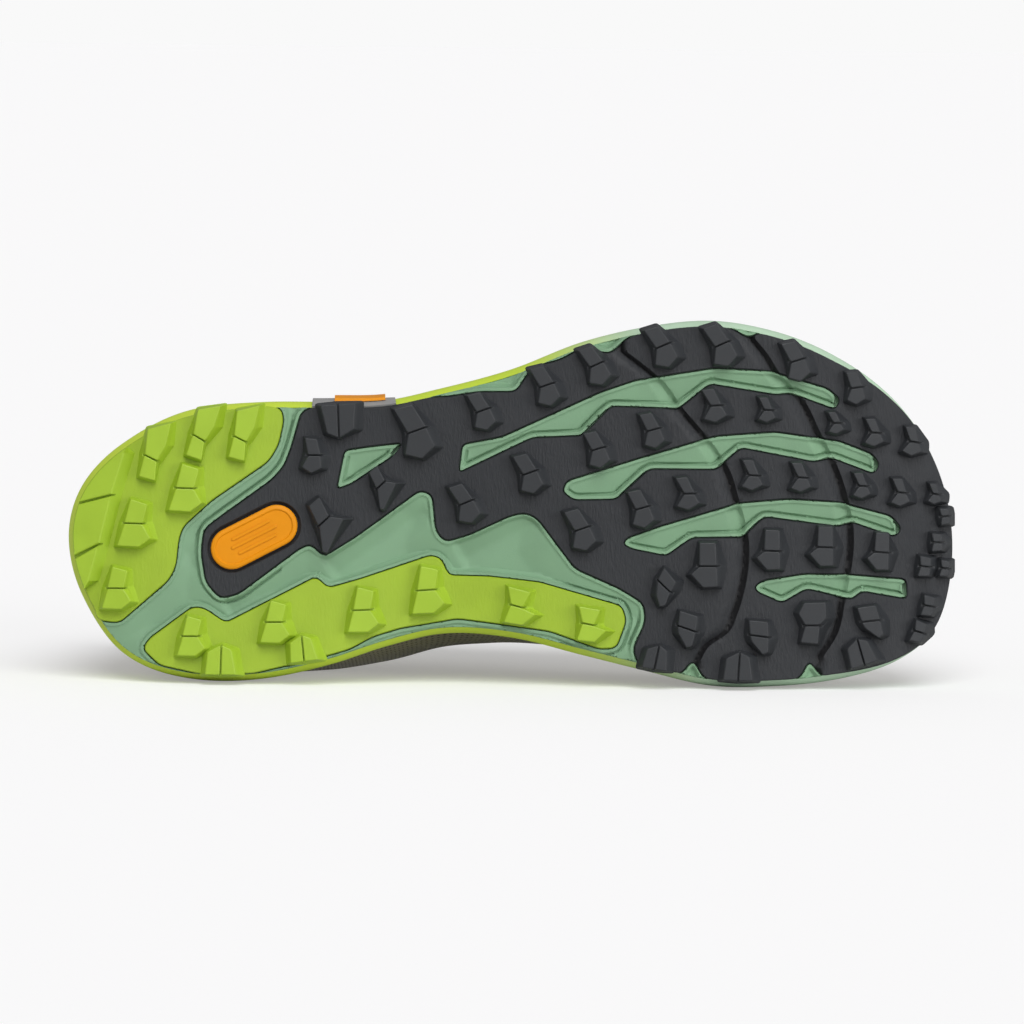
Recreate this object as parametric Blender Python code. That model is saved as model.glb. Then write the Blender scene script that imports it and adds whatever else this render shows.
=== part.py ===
"""Trail running shoe for the right foot, lying on its medial side with the sole facing -Y.

The shoe is modelled standing: x from the heel to the toe, y towards the medial side and z up
from the ground plane of the lug tops. At the end the whole shoe is laid on the floor.
Tables hold percent: x of SOLE_LENGTH, y of BALL_WIDTH and heights of COLLAR_HEIGHT,
unless a table says otherwise.
"""
import math

import bmesh
import bpy
import numpy as np
from mathutils import Matrix, Vector
from mathutils.geometry import delaunay_2d_cdt

# Driving dimensions in metres
SOLE_LENGTH = 0.300
BALL_WIDTH = 0.122
COLLAR_HEIGHT = 0.104
LUG_HEIGHT = 0.0038
PLATE_THICKNESS = 0.0022
FOOTBED_HEIGHT = 0.0225
SIDE_HEIGHT = 0.0300
TOE_SPRING = 0.0130
HEEL_BEVEL = 0.0060
ARCH_RISE = 0.0030
UPPER_WALL = 0.0022
OVERLAY_STEP = 0.0009
TONGUE_THICKNESS = 0.0045
INSOLE_THICKNESS = 0.0040
INSOLE_CLEARANCE = 1.5
INSOLE_BEVEL = 0.0018
INSOLE_EDGE = 0.0010
INSOLE_EDGE_WIDTH = 0.0080
LACE_WIDTH = 0.0050
LACE_THICKNESS = 0.0016
WRAP_THICKNESS = 0.0008
WRAP_CLEARANCE = 0.0004
INLAY_LENGTH = 0.0310
INLAY_WIDTH = 0.0140
INLAY_RISE = 0.0006
INLAY_BEVEL = 0.0015
GAP = 0.0003

# Insets of the midsole's rings from its widest outline
BOTTOM_INSET = 0.0022
TOE_RIM_OUT = 0.0016
LIP_INSET = 0.0018
LIP_WIDTH = 0.0034
LIP_TOP_SHARE = 0.85
SIDE_STEP = 0.0009
SIDE_STEP_SHARE = 0.04
FOOTBED_FOLLOW = 0.8
UPPER_INSET = LIP_INSET + LIP_WIDTH + GAP

# Share of the length where the toe spring starts and where the heel bevel ends
SPRING_START = 0.68
BEVEL_END = 0.15
TOE_RIM_START = 0.86
TOE_RIM_SPAN = 0.09
ARCH_MIDDLE = 0.43
ARCH_REACH = 0.15
ARCH_ON_MIDDLE = 0.5

# Finish of the mesh
RING_POINTS = 54
CORNER_CUT = 0.0016
CORNER_SHARE = 0.35
SHEET_PITCH = 0.015
SHEET_MARGIN = 0.3
INSOLE_POINTS = 40
ROUND_STEPS = 5

# Outline of the sole: x, lateral edge y, medial edge y
SOLE_OUTLINE = (
    (0.0, 4.4, 4.4),
    (1.7, -10.2, 21.5),
    (6.2, -21.3, 36.8),
    (14.0, -30.6, 44.0),
    (22.0, -32.7, 44.0),
    (30.0, -32.8, 39.8),
    (36.0, -33.2, 35.0),
    (42.0, -36.4, 31.6),
    (50.0, -41.7, 32.6),
    (58.0, -49.3, 37.4),
    (65.0, -53.4, 41.7),
    (72.0, -55.2, 45.7),
    (80.0, -52.1, 46.0),
    (88.0, -43.5, 43.6),
    (94.0, -31.6, 38.6),
    (98.3, -14.3, 28.7),
    (100.0, 7.5, 7.5),
)

# Lateral midfoot, where the rubber stands inside the foam edge: inner border of the forefoot plate
LATERAL_BORDER = (
    (63.0, -50.1), (61.1, -45.7), (58.0, -47.4), (55.5, -44.1), (52.5, -42.2),
    (51.5, -38.8), (50.6, -35.3), (46.5, -35.3), (43.0, -34.0),
)
LATERAL_BORDER_FROM = 64.5
WRAP_FROM = 27.7
WRAP_TO = 38.0

# Rear border of the forefoot plate, from the lateral rim to the medial rim
FOREFOOT_BORDER = (
    (27.7, -31.0), (26.5, -29.7), (25.4, -20.1), (24.6, -14.9), (23.2, -11.0), (17.4, -0.8),
    (15.6, 2.6), (15.3, 9.0), (15.8, 17.1), (17.4, 21.6), (19.4, 20.4), (26.4, 7.6),
    (27.6, 6.6), (29.0, 10.0), (32.5, 4.7), (39.8, -8.3), (41.2, -7.0), (41.6, 3.0),
    (42.6, 6.0), (45.4, 3.9), (49.9, -1.2), (51.6, -2.1), (53.0, -0.4), (57.2, 13.4),
    (62.2, 18.9), (64.9, 23.0), (65.1, 28.1), (63.7, 35.6), (64.2, 39.4), (66.5, 42.0),
)
FOREFOOT_MEDIAL_FROM = 68.0

# Where the heel plate meets the rim, and the ends of the rim that carries the wrap
HEEL_RIM_LATERAL = 21.4
HEEL_RIM_MEDIAL = 2.6
WRAP_RIM_FROM = 28.7
WRAP_RIM_TO = 40.5

# Heights of the wrap's bends and of the side inlay above the foam's face, and the inlay's ends
WRAP_HEIGHTS = (0.0035, 0.0080, 0.0110)
WRAP_END_SHARE = 0.32
WRAP_SLOPE = 0.50
STRIP_FROM = 30.2
STRIP_TO = 35.9
STRIP_LOW = 0.0036
STRIP_HIGH = 0.0096
STRIP_CHAMFER = 0.4

# Where the wrap's root reaches through the plate, as shares of its thickness from the back
WRAP_ROOT = (0.25, 0.80)
WRAP_POINTS = 9
STRIP_POINTS = 5

# Notches where the flex grooves leave the rim: x before, apex x, apex y, x after
MEDIAL_NOTCHES = ((68.9, 70.4, 38.6, 71.6), (82.4, 83.5, 38.8, 84.9))
LATERAL_NOTCHES = ((78.0, 76.6, -50.2, 74.6),)

# Inner border of the heel plate, from the lateral rim to the medial rim
HEEL_BORDER = (
    (22.1, -31.6), (24.2, -30.8), (24.5, -27.5), (23.9, -20.7), (22.8, -16.2), (16.3, -5.2),
    (13.2, 1.8), (12.7, 5.5), (12.4, 12.7), (11.6, 16.6), (6.0, 28.4), (3.5, 27.6),
)

# The medial strip, a closed outline
MEDIAL_STRIP = (
    (8.7, 35.6), (9.4, 32.8), (14.3, 24.0), (15.6, 24.4), (18.0, 28.4), (26.0, 18.4), (28.1, 15.7),
    (29.5, 18.8), (33.1, 16.3), (41.0, 9.8), (42.1, 10.6), (43.0, 15.3), (47.6, 15.6),
    (53.2, 17.2), (62.4, 23.8), (62.9, 27.8), (61.8, 35.2), (60.0, 35.6), (54.4, 30.7),
    (50.0, 29.1), (44.0, 27.2), (37.6, 29.8), (34.4, 32.2), (31.9, 35.6), (28.0, 38.4),
    (21.0, 42.3), (15.1, 42.4), (10.6, 40.0),
)

# Windows through the forefoot plate, each a closed outline
WINDOWS = (
    ((31.3, -19.3), (34.8, -20.5), (37.9, -21.3), (36.7, -17.4), (32.2, -10.0), (30.4, -8.3)),
    (
        (44.1, -12.9), (44.5, -20.9), (49.0, -23.0), (60.0, -35.3), (64.0, -38.6), (72.9, -42.0),
        (79.0, -41.2), (85.6, -36.4), (87.0, -33.4), (86.4, -30.4), (81.3, -35.0), (79.8, -34.4),
        (72.3, -37.4), (68.8, -30.6), (61.2, -31.3), (58.0, -23.2), (52.4, -22.6),
    ),
    (
        (55.7, -7.8), (56.2, -10.8), (64.5, -17.2), (72.9, -23.2), (79.6, -24.4), (86.9, -21.9),
        (90.6, -18.4), (91.5, -15.4), (90.8, -12.6), (85.8, -17.2), (84.1, -15.9), (75.8, -19.8), (73.0, -13.8),
        (65.5, -14.0), (61.8, -5.6), (57.0, -5.4),
    ),
    (
        (62.6, 7.2), (66.7, 1.7), (75.7, -4.8), (81.3, -5.9), (86.9, -5.0), (92.8, -1.2),
        (94.0, 2.4), (93.2, 4.8), (88.2, 0.6), (86.7, 1.9), (78.4, -0.8), (76.0, 4.8), (70.3, 5.0),
        (67.4, 10.0),
    ),
    (
        (77.2, 18.6), (78.4, 16.9), (83.0, 14.8), (88.0, 15.0), (94.2, 16.2), (94.3, 22.2),
        (89.4, 19.8), (88.3, 22.1), (83.2, 19.1), (80.4, 23.0),
    ),
)

# Orange inlay in the heel lobe of the forefoot plate
INLAY_CENTRE = (21.2, 4.7)
INLAY_TURN = -27.0

# Lug forms in millimetres from the middle of the lug's cut: x towards the toe, y medial
LUG_FORMS = {
    "bracket": ((-4.5, -3.4), (0.2, -4.2), (1.9, -0.7), (5.9, 3.9), (5.0, 5.7), (-2.6, 5.9),
                (-1.8, 0.8)),
    "arrow": ((-2.5, -8.1), (3.2, -8.1), (3.9, 7.4), (-1.2, 7.7), (-5.5, 3.0), (-2.5, 0.2)),
    "block": ((-1.0, -8.4), (5.0, -6.7), (3.4, 0.2), (6.4, 5.2), (2.4, 8.4), (-5.2, 8.2),
              (-2.8, 0.2)),
    "ridge": ((-1.2, -10.0), (7.0, -12.2), (5.0, -4.2), (2.0, 1.2), (1.4, 8.2), (-4.3, 6.6),
              (-2.2, -1.0)),
    "wedge": ((-2.6, -6.0), (5.0, -4.6), (2.6, 0.8), (7.0, 2.6), (3.0, 6.6), (-3.2, 6.0),
              (-1.2, 0.0)),
    "toe": ((-3.6, -5.6), (2.6, -5.0), (2.8, 0.0), (2.6, 5.0), (-3.6, 5.6), (-2.4, 0.0)),
    "rim": ((-5.6, 5.2), (6.0, 5.2), (4.4, -4.2), (0.6, -6.0), (-4.6, -3.4)),
}

# Lugs of the forefoot plate: form, x, y, turn in degrees, size
FOREFOOT_LUGS = (
    ("block", 28.3, -17.9, -28, 0.90),
    ("rim", 31.6, -27.2, 176, 0.92),
    ("bracket", 29.1, 0.0, -12, 1.00),
    ("bracket", 35.4, -9.0, -14, 0.95),
    ("bracket", 39.5, -24.6, -6, 1.05),
    ("bracket", 45.1, -5.2, -6, 1.00),
    ("bracket", 47.1, -30.2, 0, 1.15),
    ("bracket", 54.1, -38.0, -4, 1.10),
    ("bracket", 59.6, -42.8, -2, 1.05),
    ("bracket", 52.2, -13.8, -4, 1.05),
    ("bracket", 59.6, -20.6, 0, 1.05),
    ("bracket", 65.7, -25.6, 0, 1.05),
    ("bracket", 58.0, 2.2, -4, 1.05),
    ("bracket", 64.7, -3.5, 4, 1.05),
    ("bracket", 67.0, -48.2, -4, 1.10),
    ("bracket", 73.4, -49.3, -2, 1.10),
    ("bracket", 73.2, -30.4, 4, 1.00),
    ("bracket", 79.0, -30.4, 6, 0.95),
    ("bracket", 82.2, -45.8, 4, 1.00),
    ("bracket", 88.7, -37.2, 14, 0.90),
    ("bracket", 86.8, -27.2, 6, 0.85),
    ("bracket", 91.3, -24.4, 12, 0.80),
    ("bracket", 95.4, -22.0, 22, 0.75),
    ("bracket", 70.1, -8.3, 8, 1.05),
    ("bracket", 77.3, -12.4, 10, 1.05),
    ("bracket", 82.7, -11.6, 12, 1.00),
    ("bracket", 89.4, -9.0, 14, 0.90),
    ("bracket", 93.9, -6.4, 18, 0.85),
    ("toe", 98.9, -1.0, -6, 0.50),
    ("toe", 98.0, 6.2, 0, 0.55),
    ("toe", 98.9, 13.4, 6, 0.50),
    ("toe", 96.6, 12.9, 6, 0.62),
    ("arrow", 71.9, 12.6, 0, 0.95),
    ("arrow", 79.1, 8.4, 2, 0.85),
    ("arrow", 85.1, 7.4, 2, 0.85),
    ("arrow", 91.5, 8.8, 4, 0.80),
    ("block", 67.0, 19.6, 30, 0.85),
    ("arrow", 69.7, 29.6, -14, 0.80),
    ("arrow", 78.0, 31.9, 2, 0.85),
    ("block", 83.6, 29.2, 4, 0.95),
    ("block", 90.5, 27.6, 8, 0.80),
    ("toe", 97.0, 23.8, 10, 0.62),
    ("toe", 95.9, 31.0, 18, 0.65),
    ("rim", 66.2, 38.0, 10, 0.72),
    ("rim", 75.4, 40.6, 2, 0.85),
    ("rim", 89.2, 36.8, -14, 0.80),
)

# Lugs of the heel plate: form, x, y, turn in degrees, size
HEEL_LUGS = (
    ("ridge", 9.7, -17.2, 0, 0.95),
    ("ridge", 15.1, -22.7, 4, 0.92),
    ("ridge", 19.7, -22.4, 0, 0.92),
    ("block", 13.4, -8.9, 2, 0.95),
    ("block", 7.6, 0.8, 2, 0.95),
    ("block", 5.6, 18.7, 0, 0.85),
)

# Braking blocks at the back of the heel: start and end in degrees round the outline, and y where
# each starts and ends on the inner edge
BRAKE_BLOCKS = ((-29.5, -10.5, -18.4, -7.6), (-9, 4.5, -6.2, 5.9), (6.5, 13.5, 7.3, 16.8))
BRAKE_EDGE = ((6.6, -18.4), (5.3, -8.3), (3.7, 6.9), (2.3, 19.0))

# Lugs of the medial strip: form, x, y, turn in degrees, size
MEDIAL_LUGS = (
    ("block", 14.0, 31.9, 0, 0.80),
    ("rim", 17.4, 38.8, 0, 0.88),
    ("block", 23.4, 28.0, 0, 0.85),
    ("rim", 26.6, 35.6, -8, 0.78),
    ("block", 33.2, 24.7, -2, 0.90),
    ("block", 40.4, 19.2, -4, 0.95),
    ("wedge", 50.4, 23.4, 4, 1.00),
    ("wedge", 58.4, 28.4, 0, 0.95),
)

# Lug walls: how far the foot stands out past the top on the heel side, the toe side and the ends
LUG_HEEL_DRAFT = 0.0008
LUG_TOE_RAMP = 0.0040
LUG_END_DRAFT = 0.0014
LUG_ROOT = 0.0008
HEEL_BASE_TRIM = 0.0004

# Side wall of the midsole: inset share of BOTTOM_INSET, height share between the foam and the top
SIDE_PROFILE = (
    (1.00, 0.00),
    (0.35, 0.14),
    (0.00, 0.36),
    (0.05, 0.56),
)

# Height of the side wall's top edge as a share of SIDE_HEIGHT, above the rise of the toe: x, height
SIDE_TOP = ((0, 115), (12, 112), (30, 108), (46, 104), (60, 94), (80, 88), (100, 92))

# Meridians of the upper, one row for each place round the foot, starting at the back of the heel:
# turn in degrees (medial side first), opening edge x, y, height, lower handle's rise and bulge,
# upper handle's reach outwards and drop
UPPER_MERIDIANS = (
    (0, 3.6, 6.5, 100, 26, 1.5, 2.5, 26),
    (12, 4.2, 14.0, 99.5, 26, 1.5, 2.5, 26),
    (26, 7.0, 21.5, 96, 26, 2.0, 2.5, 24),
    (45, 14.5, 28.5, 84, 22, 3.0, 3.0, 18),
    (62, 24.5, 29.5, 83, 22, 12.0, 9.0, 16),
    (75, 33.0, 20.5, 96, 24, 20.0, 15.0, 14),
    (86, 37.5, 12.5, 102, 26, 19.0, 16.0, 8),
    (100, 45.5, 8.5, 92, 24, 9.0, 18.0, 4),
    (120, 54.0, 5.0, 78, 21, 4.0, 22.0, 4),
    (140, 60.0, 1.5, 70, 19, 3.0, 27.0, 5),
    (160, 62.6, -2.4, 66.5, 17, 2.0, 38.0, 6),
    (180, 63.2, -6.0, 65.5, 16, 2.0, 46.0, 7),
    (200, 62.6, -9.6, 66.5, 17, 2.0, 38.0, 6),
    (220, 60.0, -12.5, 70, 19, 2.0, 27.0, 5),
    (240, 54.0, -13.5, 78, 21, 2.0, 20.0, 4),
    (260, 45.5, -13.0, 92, 24, 3.0, 14.0, 4),
    (274, 37.5, -13.5, 102, 26, 5.0, 10.0, 8),
    (285, 33.0, -18.5, 96, 24, 5.0, 8.0, 14),
    (298, 24.5, -20.0, 81, 22, 4.0, 5.0, 16),
    (315, 14.5, -15.5, 81, 22, 2.0, 3.0, 18),
    (334, 7.0, -8.5, 95, 26, 2.0, 2.5, 24),
    (348, 4.2, -1.0, 99.5, 26, 1.5, 2.5, 26),
    (360, 3.6, 6.5, 100, 26, 1.5, 2.5, 26),
)

# Overlays that stand proud of the wall: turn from, turn to, lowest and highest share of the wall
OVERLAYS = {
    "toe_cap": (128, 232, 0.09, 0.305),
    "counter_medial": (-1, 48, 0.09, 0.555),
    "counter_lateral": (312, 361, 0.09, 0.555),
    "eyestay": (80, 280, 0.885, 1.1),
}
WALL_LEVELS = (0.0, 0.08, 0.10, 0.20, 0.30, 0.31, 0.43, 0.55, 0.56, 0.72, 0.88, 0.89, 1.0)
# Share of the wall that stands straight inside the lip, and how far it clears the lip
STRAIGHT_SHARE = 0.08
LIP_CLEARANCE = 0.0012
OVERLAY_TURN = 0.6

# Instep: turns of the opening's edge that the tongue and the lace span, from the front to the collar
THROAT_FRONT = 150.0
THROAT_BACK = 87.0
TONGUE_ACROSS = (-1.9, -1.45, -1.0, -0.66, -0.33, 0.0, 0.33, 0.66, 1.0, 1.45, 1.9)
TONGUE_ROWS = 10
TONGUE_TUCK = 0.17
TONGUE_FRONT_SHARE = 0.75
TONGUE_CLEARANCE = 0.0012
TONGUE_TOP = 0.026
# Rows of the tongue's free end: share of its length, share of the width
TONGUE_TAB = ((0.35, 0.84), (0.75, 0.72), (1.0, 0.54))
INSTEP_CROWN = 0.0016
WALL_SHARE = 0.14
EYELET_ROWS = (0.06, 0.22, 0.39, 0.56, 0.73, 0.90)
EYELET_REACH = 1.42
LACE_SIDES = 6
BAR_POINTS = 5

# Weights for the balance of the shoe, in kilograms for a cubic metre
RUBBER_DENSITY = 1150
FOAM_DENSITY = 190
CLOTH_DENSITY = 420


def place(x, y):
    """A point of the tables, in percent, as metres."""
    return (x * SOLE_LENGTH / 100, y * BALL_WIDTH / 100)


def through(knots, values, at):
    """Smooth curve through the values at the knots, with slopes from the neighbours."""
    knots = np.asarray(knots, float)
    values = np.asarray(values, float)
    slopes = np.gradient(values, knots)
    at = np.clip(np.asarray(at, float), knots[0], knots[-1])
    i = np.clip(np.searchsorted(knots, at, side="right") - 1, 0, len(knots) - 2)
    width = knots[i + 1] - knots[i]
    t = (at - knots[i]) / width
    a = (1 + 2 * t) * (1 - t) ** 2
    b = t * (1 - t) ** 2
    c = t * t * (3 - 2 * t)
    d = t * t * (t - 1)
    return a * values[i] + b * width * slopes[i] + c * values[i + 1] + d * width * slopes[i + 1]


def outline(turns, inset=0.0):
    """Points of the sole's outline at the given turns in degrees, moved inwards by the inset.

    The x value follows half a cosine wave, so the points gather at the round heel and toe.
    """
    table = np.array(SOLE_OUTLINE)
    knots = np.degrees(np.arccos(1 - table[:, 0] / 50))

    def point(turn):
        turn = np.mod(turn, 360)
        medial = turn <= 180
        half = np.where(medial, turn, 360 - turn)
        x = (1 - np.cos(np.radians(half))) / 2 * SOLE_LENGTH
        side_medial = through(knots, table[:, 2], half)
        side_lateral = through(knots, table[:, 1], half)
        return np.stack([x, np.where(medial, side_medial, side_lateral) * BALL_WIDTH / 100], axis=-1)

    turns = np.asarray(turns, float)
    along = point(turns + 0.5) - point(turns - 0.5)
    along /= np.linalg.norm(along, axis=-1, keepdims=True)
    outward = np.stack([-along[..., 1], along[..., 0]], axis=-1)
    return point(turns) - outward * np.asarray(inset)[..., None], outward


def turn_of(x, side):
    """Turn in degrees where the outline reaches x percent, on the medial or the lateral side."""
    half = math.degrees(math.acos(1 - x / 50))
    return half if side == "medial" else 360 - half


def rim(x_from, x_to, side_from, side_to, step=5.0, inset=BOTTOM_INSET):
    """Points along the inset outline, from a place onwards in the sense heel, medial, toe, lateral."""
    start = turn_of(x_from, side_from)
    end = turn_of(x_to, side_to)
    if side_from == "lateral" and side_to == "medial":
        start -= 360
    count = max(2, round((end - start) / step) + 1)
    turns = np.linspace(start, end, count)
    points, outward = outline(turns, inset)
    toe = np.clip((points[:, 0] / SOLE_LENGTH - TOE_RIM_START) / TOE_RIM_SPAN, 0, 1)
    points, outward = outline(turns, inset - TOE_RIM_OUT * toe)
    return [tuple(p) for p in points]


def rise(x, y):
    """Height of the lug tops above the ground: toe spring, heel bevel and arch."""
    u = np.asarray(x, float) / SOLE_LENGTH
    toe = np.clip((u - SPRING_START) / (1 - SPRING_START), 0, None) ** 2 * TOE_SPRING
    heel = np.clip((BEVEL_END - u) / BEVEL_END, 0, None) ** 2 * HEEL_BEVEL
    waist = np.clip(1 - ((u - ARCH_MIDDLE) / ARCH_REACH) ** 2, 0, None) ** 2
    inner = np.clip(ARCH_ON_MIDDLE + np.asarray(y, float) / (BALL_WIDTH / 2), 0, 1)
    return toe + heel + waist * inner * ARCH_RISE


def plate_face(x, y):
    return rise(x, y) + LUG_HEIGHT


def plate_back(x, y):
    return plate_face(x, y) + PLATE_THICKNESS


def foam_face(x, y):
    return plate_back(x, y) + GAP


def footbed(x, y):
    return rise(x, y) * FOOTBED_FOLLOW + FOOTBED_HEIGHT


def side_top(x, y):
    table = np.array(SIDE_TOP, float)
    share = through(table[:, 0], table[:, 1], np.asarray(x) / SOLE_LENGTH * 100) / 100
    return rise(x, y) + SIDE_HEIGHT * share


def cut_corners(points, cut=CORNER_CUT):
    """The closed outline with each corner replaced by two points, the cut's length before and after."""
    points = np.asarray(points, float)
    result = []
    for i in range(len(points)):
        corner = points[i]
        for other in (points[i - 1], points[(i + 1) % len(points)]):
            way = other - corner
            length = np.linalg.norm(way)
            result.append(tuple(corner + way / length * min(cut, length * CORNER_SHARE)))
    return result


def inside(points, loop):
    """Whether each point is inside the closed loop, by counting crossings of a ray along x."""
    points = np.asarray(points, float)
    loop = np.asarray(loop, float)
    following = np.roll(loop, -1, axis=0)
    x = points[:, None, 0]
    y = points[:, None, 1]
    crosses = (loop[None, :, 1] > y) != (following[None, :, 1] > y)
    height = following[None, :, 1] - loop[None, :, 1]
    height = np.where(height == 0, 1e-12, height)
    at = loop[None, :, 0] + (y - loop[None, :, 1]) / height * (following[None, :, 0] - loop[None, :, 0])
    return np.sum(crosses & (at > x), axis=1) % 2 == 1


def clear_of(points, loop, distance):
    """Whether each point is at least the distance away from the loop's edges."""
    points = np.asarray(points, float)[:, None, :]
    start = np.asarray(loop, float)[None, :, :]
    way = np.roll(start, -1, axis=1) - start
    share = np.clip(np.sum((points - start) * way, axis=2) / np.sum(way * way, axis=2), 0, 1)
    nearest = start + way * share[:, :, None]
    return np.min(np.linalg.norm(points - nearest, axis=2), axis=1) >= distance


def sheet(outer, holes=(), pitch=SHEET_PITCH):
    """Triangles that fill an outline with holes, and a few points inside for the curve of the sole."""
    loops = [outer] + list(holes)
    points = []
    edges = []
    for loop in loops:
        first = len(points)
        points += [Vector(p) for p in loop]
        edges += [(first + i, first + (i + 1) % len(loop)) for i in range(len(loop))]
    low = np.min(outer, axis=0)
    high = np.max(outer, axis=0)
    grid = [(x, y) for x in np.arange(low[0] + pitch / 2, high[0], pitch)
            for y in np.arange(low[1] + pitch / 2, high[1], pitch)]
    if grid:
        keep = inside(grid, outer)
        for hole in holes:
            keep &= ~inside(grid, hole)
        for loop in loops:
            keep &= clear_of(grid, loop, pitch * SHEET_MARGIN)
        points += [Vector(p) for p, kept in zip(grid, keep) if kept]
    flat, _, faces, _, _, _ = delaunay_2d_cdt(points, edges, [], 0, 1e-7)
    flat = [tuple(p) for p in flat]
    middles = [np.mean([flat[i] for i in face], axis=0) for face in faces]
    keep = inside(middles, outer)
    for hole in holes:
        keep &= ~inside(middles, hole)
    return flat, [tuple(face) for face, kept in zip(faces, keep) if kept]


def make_material(name, colour, roughness):
    """A Principled material; the colour is linear."""
    material = bpy.data.materials.new(name)
    material.use_nodes = True
    shader = material.node_tree.nodes["Principled BSDF"]
    shader.inputs["Base Color"].default_value = (*colour, 1)
    shader.inputs["Roughness"].default_value = roughness
    shader.inputs["Metallic"].default_value = 0.0
    material.diffuse_color = (*colour, 1)
    return material


def make_object(name, points, faces, material=None):
    """A closed solid whose faces point out."""
    mesh = bpy.data.meshes.new(name)
    mesh.from_pydata([tuple(map(float, p)) for p in points], [], [tuple(map(int, f)) for f in faces])
    work = bmesh.new()
    work.from_mesh(mesh)
    bmesh.ops.triangulate(work, faces=work.faces)
    bmesh.ops.recalc_face_normals(work, faces=work.faces)
    if work.calc_volume(signed=True) < 0:
        bmesh.ops.reverse_faces(work, faces=work.faces)
    work.to_mesh(mesh)
    work.free()
    obj = bpy.data.objects.new(name, mesh)
    bpy.context.scene.collection.objects.link(obj)
    if material:
        mesh.materials.append(material)
    return obj


def slab(outer, holes, face_height, back_height, pitch=SHEET_PITCH):
    """Points and faces of a plate between two heights that are functions of x and y."""
    flat, triangles = sheet(outer, holes, pitch)
    count = len(flat)
    xy = np.array(flat)
    points = [(*p, z) for p, z in zip(flat, face_height(xy[:, 0], xy[:, 1]))]
    points += [(*p, z) for p, z in zip(flat, back_height(xy[:, 0], xy[:, 1]))]
    faces = [t[::-1] for t in triangles]
    faces += [tuple(i + count for i in t) for t in triangles]
    used = {}
    for a, b, c in triangles:
        for edge in ((a, b), (b, c), (c, a)):
            used[edge] = True
    for a, b in used:
        if (b, a) not in used:
            faces.append((a, b, b + count, a + count))
    loose = sorted({i for f in faces for i in f})
    number = {old: new for new, old in enumerate(loose)}
    return [points[i] for i in loose], [tuple(number[i] for i in f) for f in faces]


def loft(rings, first, last):
    """Faces between rings of equal size, capped by sheets at the two heights over the end rings."""
    size = len(rings[0])
    points = [p for ring in rings for p in ring]
    faces = []
    for r in range(len(rings) - 1):
        for i in range(size):
            j = (i + 1) % size
            faces.append((r * size + i, r * size + j, (r + 1) * size + j, (r + 1) * size + i))
    for number, height in ((0, first), (len(rings) - 1, last)):
        flat, triangles = sheet([tuple(p[:2]) for p in rings[number]])
        xy = np.array(flat)
        base = len(points)
        heights = height(xy[:, 0], xy[:, 1])
        points += [(*p, z) for p, z in zip(flat[size:], heights[size:])]
        for t in triangles:
            faces.append(tuple(number * size + i if i < size else base + i - size for i in t))
    return points, faces


def make_midsole(material):
    """Foam midsole: bottom, side wall with a step, lip round the upper's foot, and footbed."""
    turns = np.arange(RING_POINTS) * 360 / RING_POINTS

    def ring(inset, height):
        points, outward = outline(turns, inset)
        return [(x, y, z) for (x, y), z in zip(points, height(points[:, 0], points[:, 1]))]

    def at_share(share):
        return lambda x, y: foam_face(x, y) * (1 - share) + side_top(x, y) * share

    rings = [ring(BOTTOM_INSET * inset, at_share(share)) for inset, share in SIDE_PROFILE]
    step_share = SIDE_PROFILE[-1][1] + SIDE_STEP_SHARE
    rings.append(ring(SIDE_STEP + BOTTOM_INSET * SIDE_PROFILE[-1][0], at_share(step_share)))
    rings.append(ring(LIP_INSET, at_share(1)))
    rings.append(ring(LIP_INSET + LIP_WIDTH * LIP_TOP_SHARE, at_share(1)))
    rings.append(ring(LIP_INSET + LIP_WIDTH, footbed))
    points, faces = loft(rings, foam_face, footbed)
    return make_object("midsole", points, faces, material)


def lug_solid(top, foot):
    """Points and faces of one lug between its top and foot outlines."""
    area = np.sum(top[:, 0] * np.roll(top[:, 1], -1) - np.roll(top[:, 0], -1) * top[:, 1])
    if area < 0:
        top = top[::-1]
        foot = foot[::-1]
    count = len(top)
    points = [(x, y, z) for (x, y), z in zip(top, rise(top[:, 0], top[:, 1]))]
    points += [(x, y, z) for (x, y), z in zip(foot, plate_face(foot[:, 0], foot[:, 1]) + LUG_ROOT)]
    faces = [tuple(range(count))[::-1], tuple(range(count, 2 * count))]
    for i in range(count):
        j = (i + 1) % count
        faces.append((i, j, j + count, i + count))
    return points, faces


def lug_foot(top):
    """Foot of a lug: a steep wall on the heel side and a ramp to the toe, which ends at the sole's tip."""
    middle = top.mean(axis=0)
    away = top - middle
    away /= np.linalg.norm(away, axis=1, keepdims=True)
    towards_toe = np.clip(away[:, 0], 0, 1)
    towards_heel = np.clip(-away[:, 0], 0, 1)
    along = LUG_TOE_RAMP * towards_toe - LUG_HEEL_DRAFT * towards_heel
    foot = top + np.stack([along, LUG_END_DRAFT * away[:, 1]], axis=1)
    foot[:, 0] = np.minimum(foot[:, 0], SOLE_LENGTH)
    return foot


def lug_outline(form, x, y, turn, size):
    """Top outline of a lug in metres, from its form, place, turn and size."""
    form = np.array(LUG_FORMS[form]) / 1000 * size
    angle = math.radians(turn)
    matrix = np.array(((math.cos(angle), -math.sin(angle)), (math.sin(angle), math.cos(angle))))
    return form @ matrix.T + np.array(place(x, y))


def lug_outlines(table):
    tops = [lug_outline(*row) for row in table]
    return [(top, lug_foot(top)) for top in tops]


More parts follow.
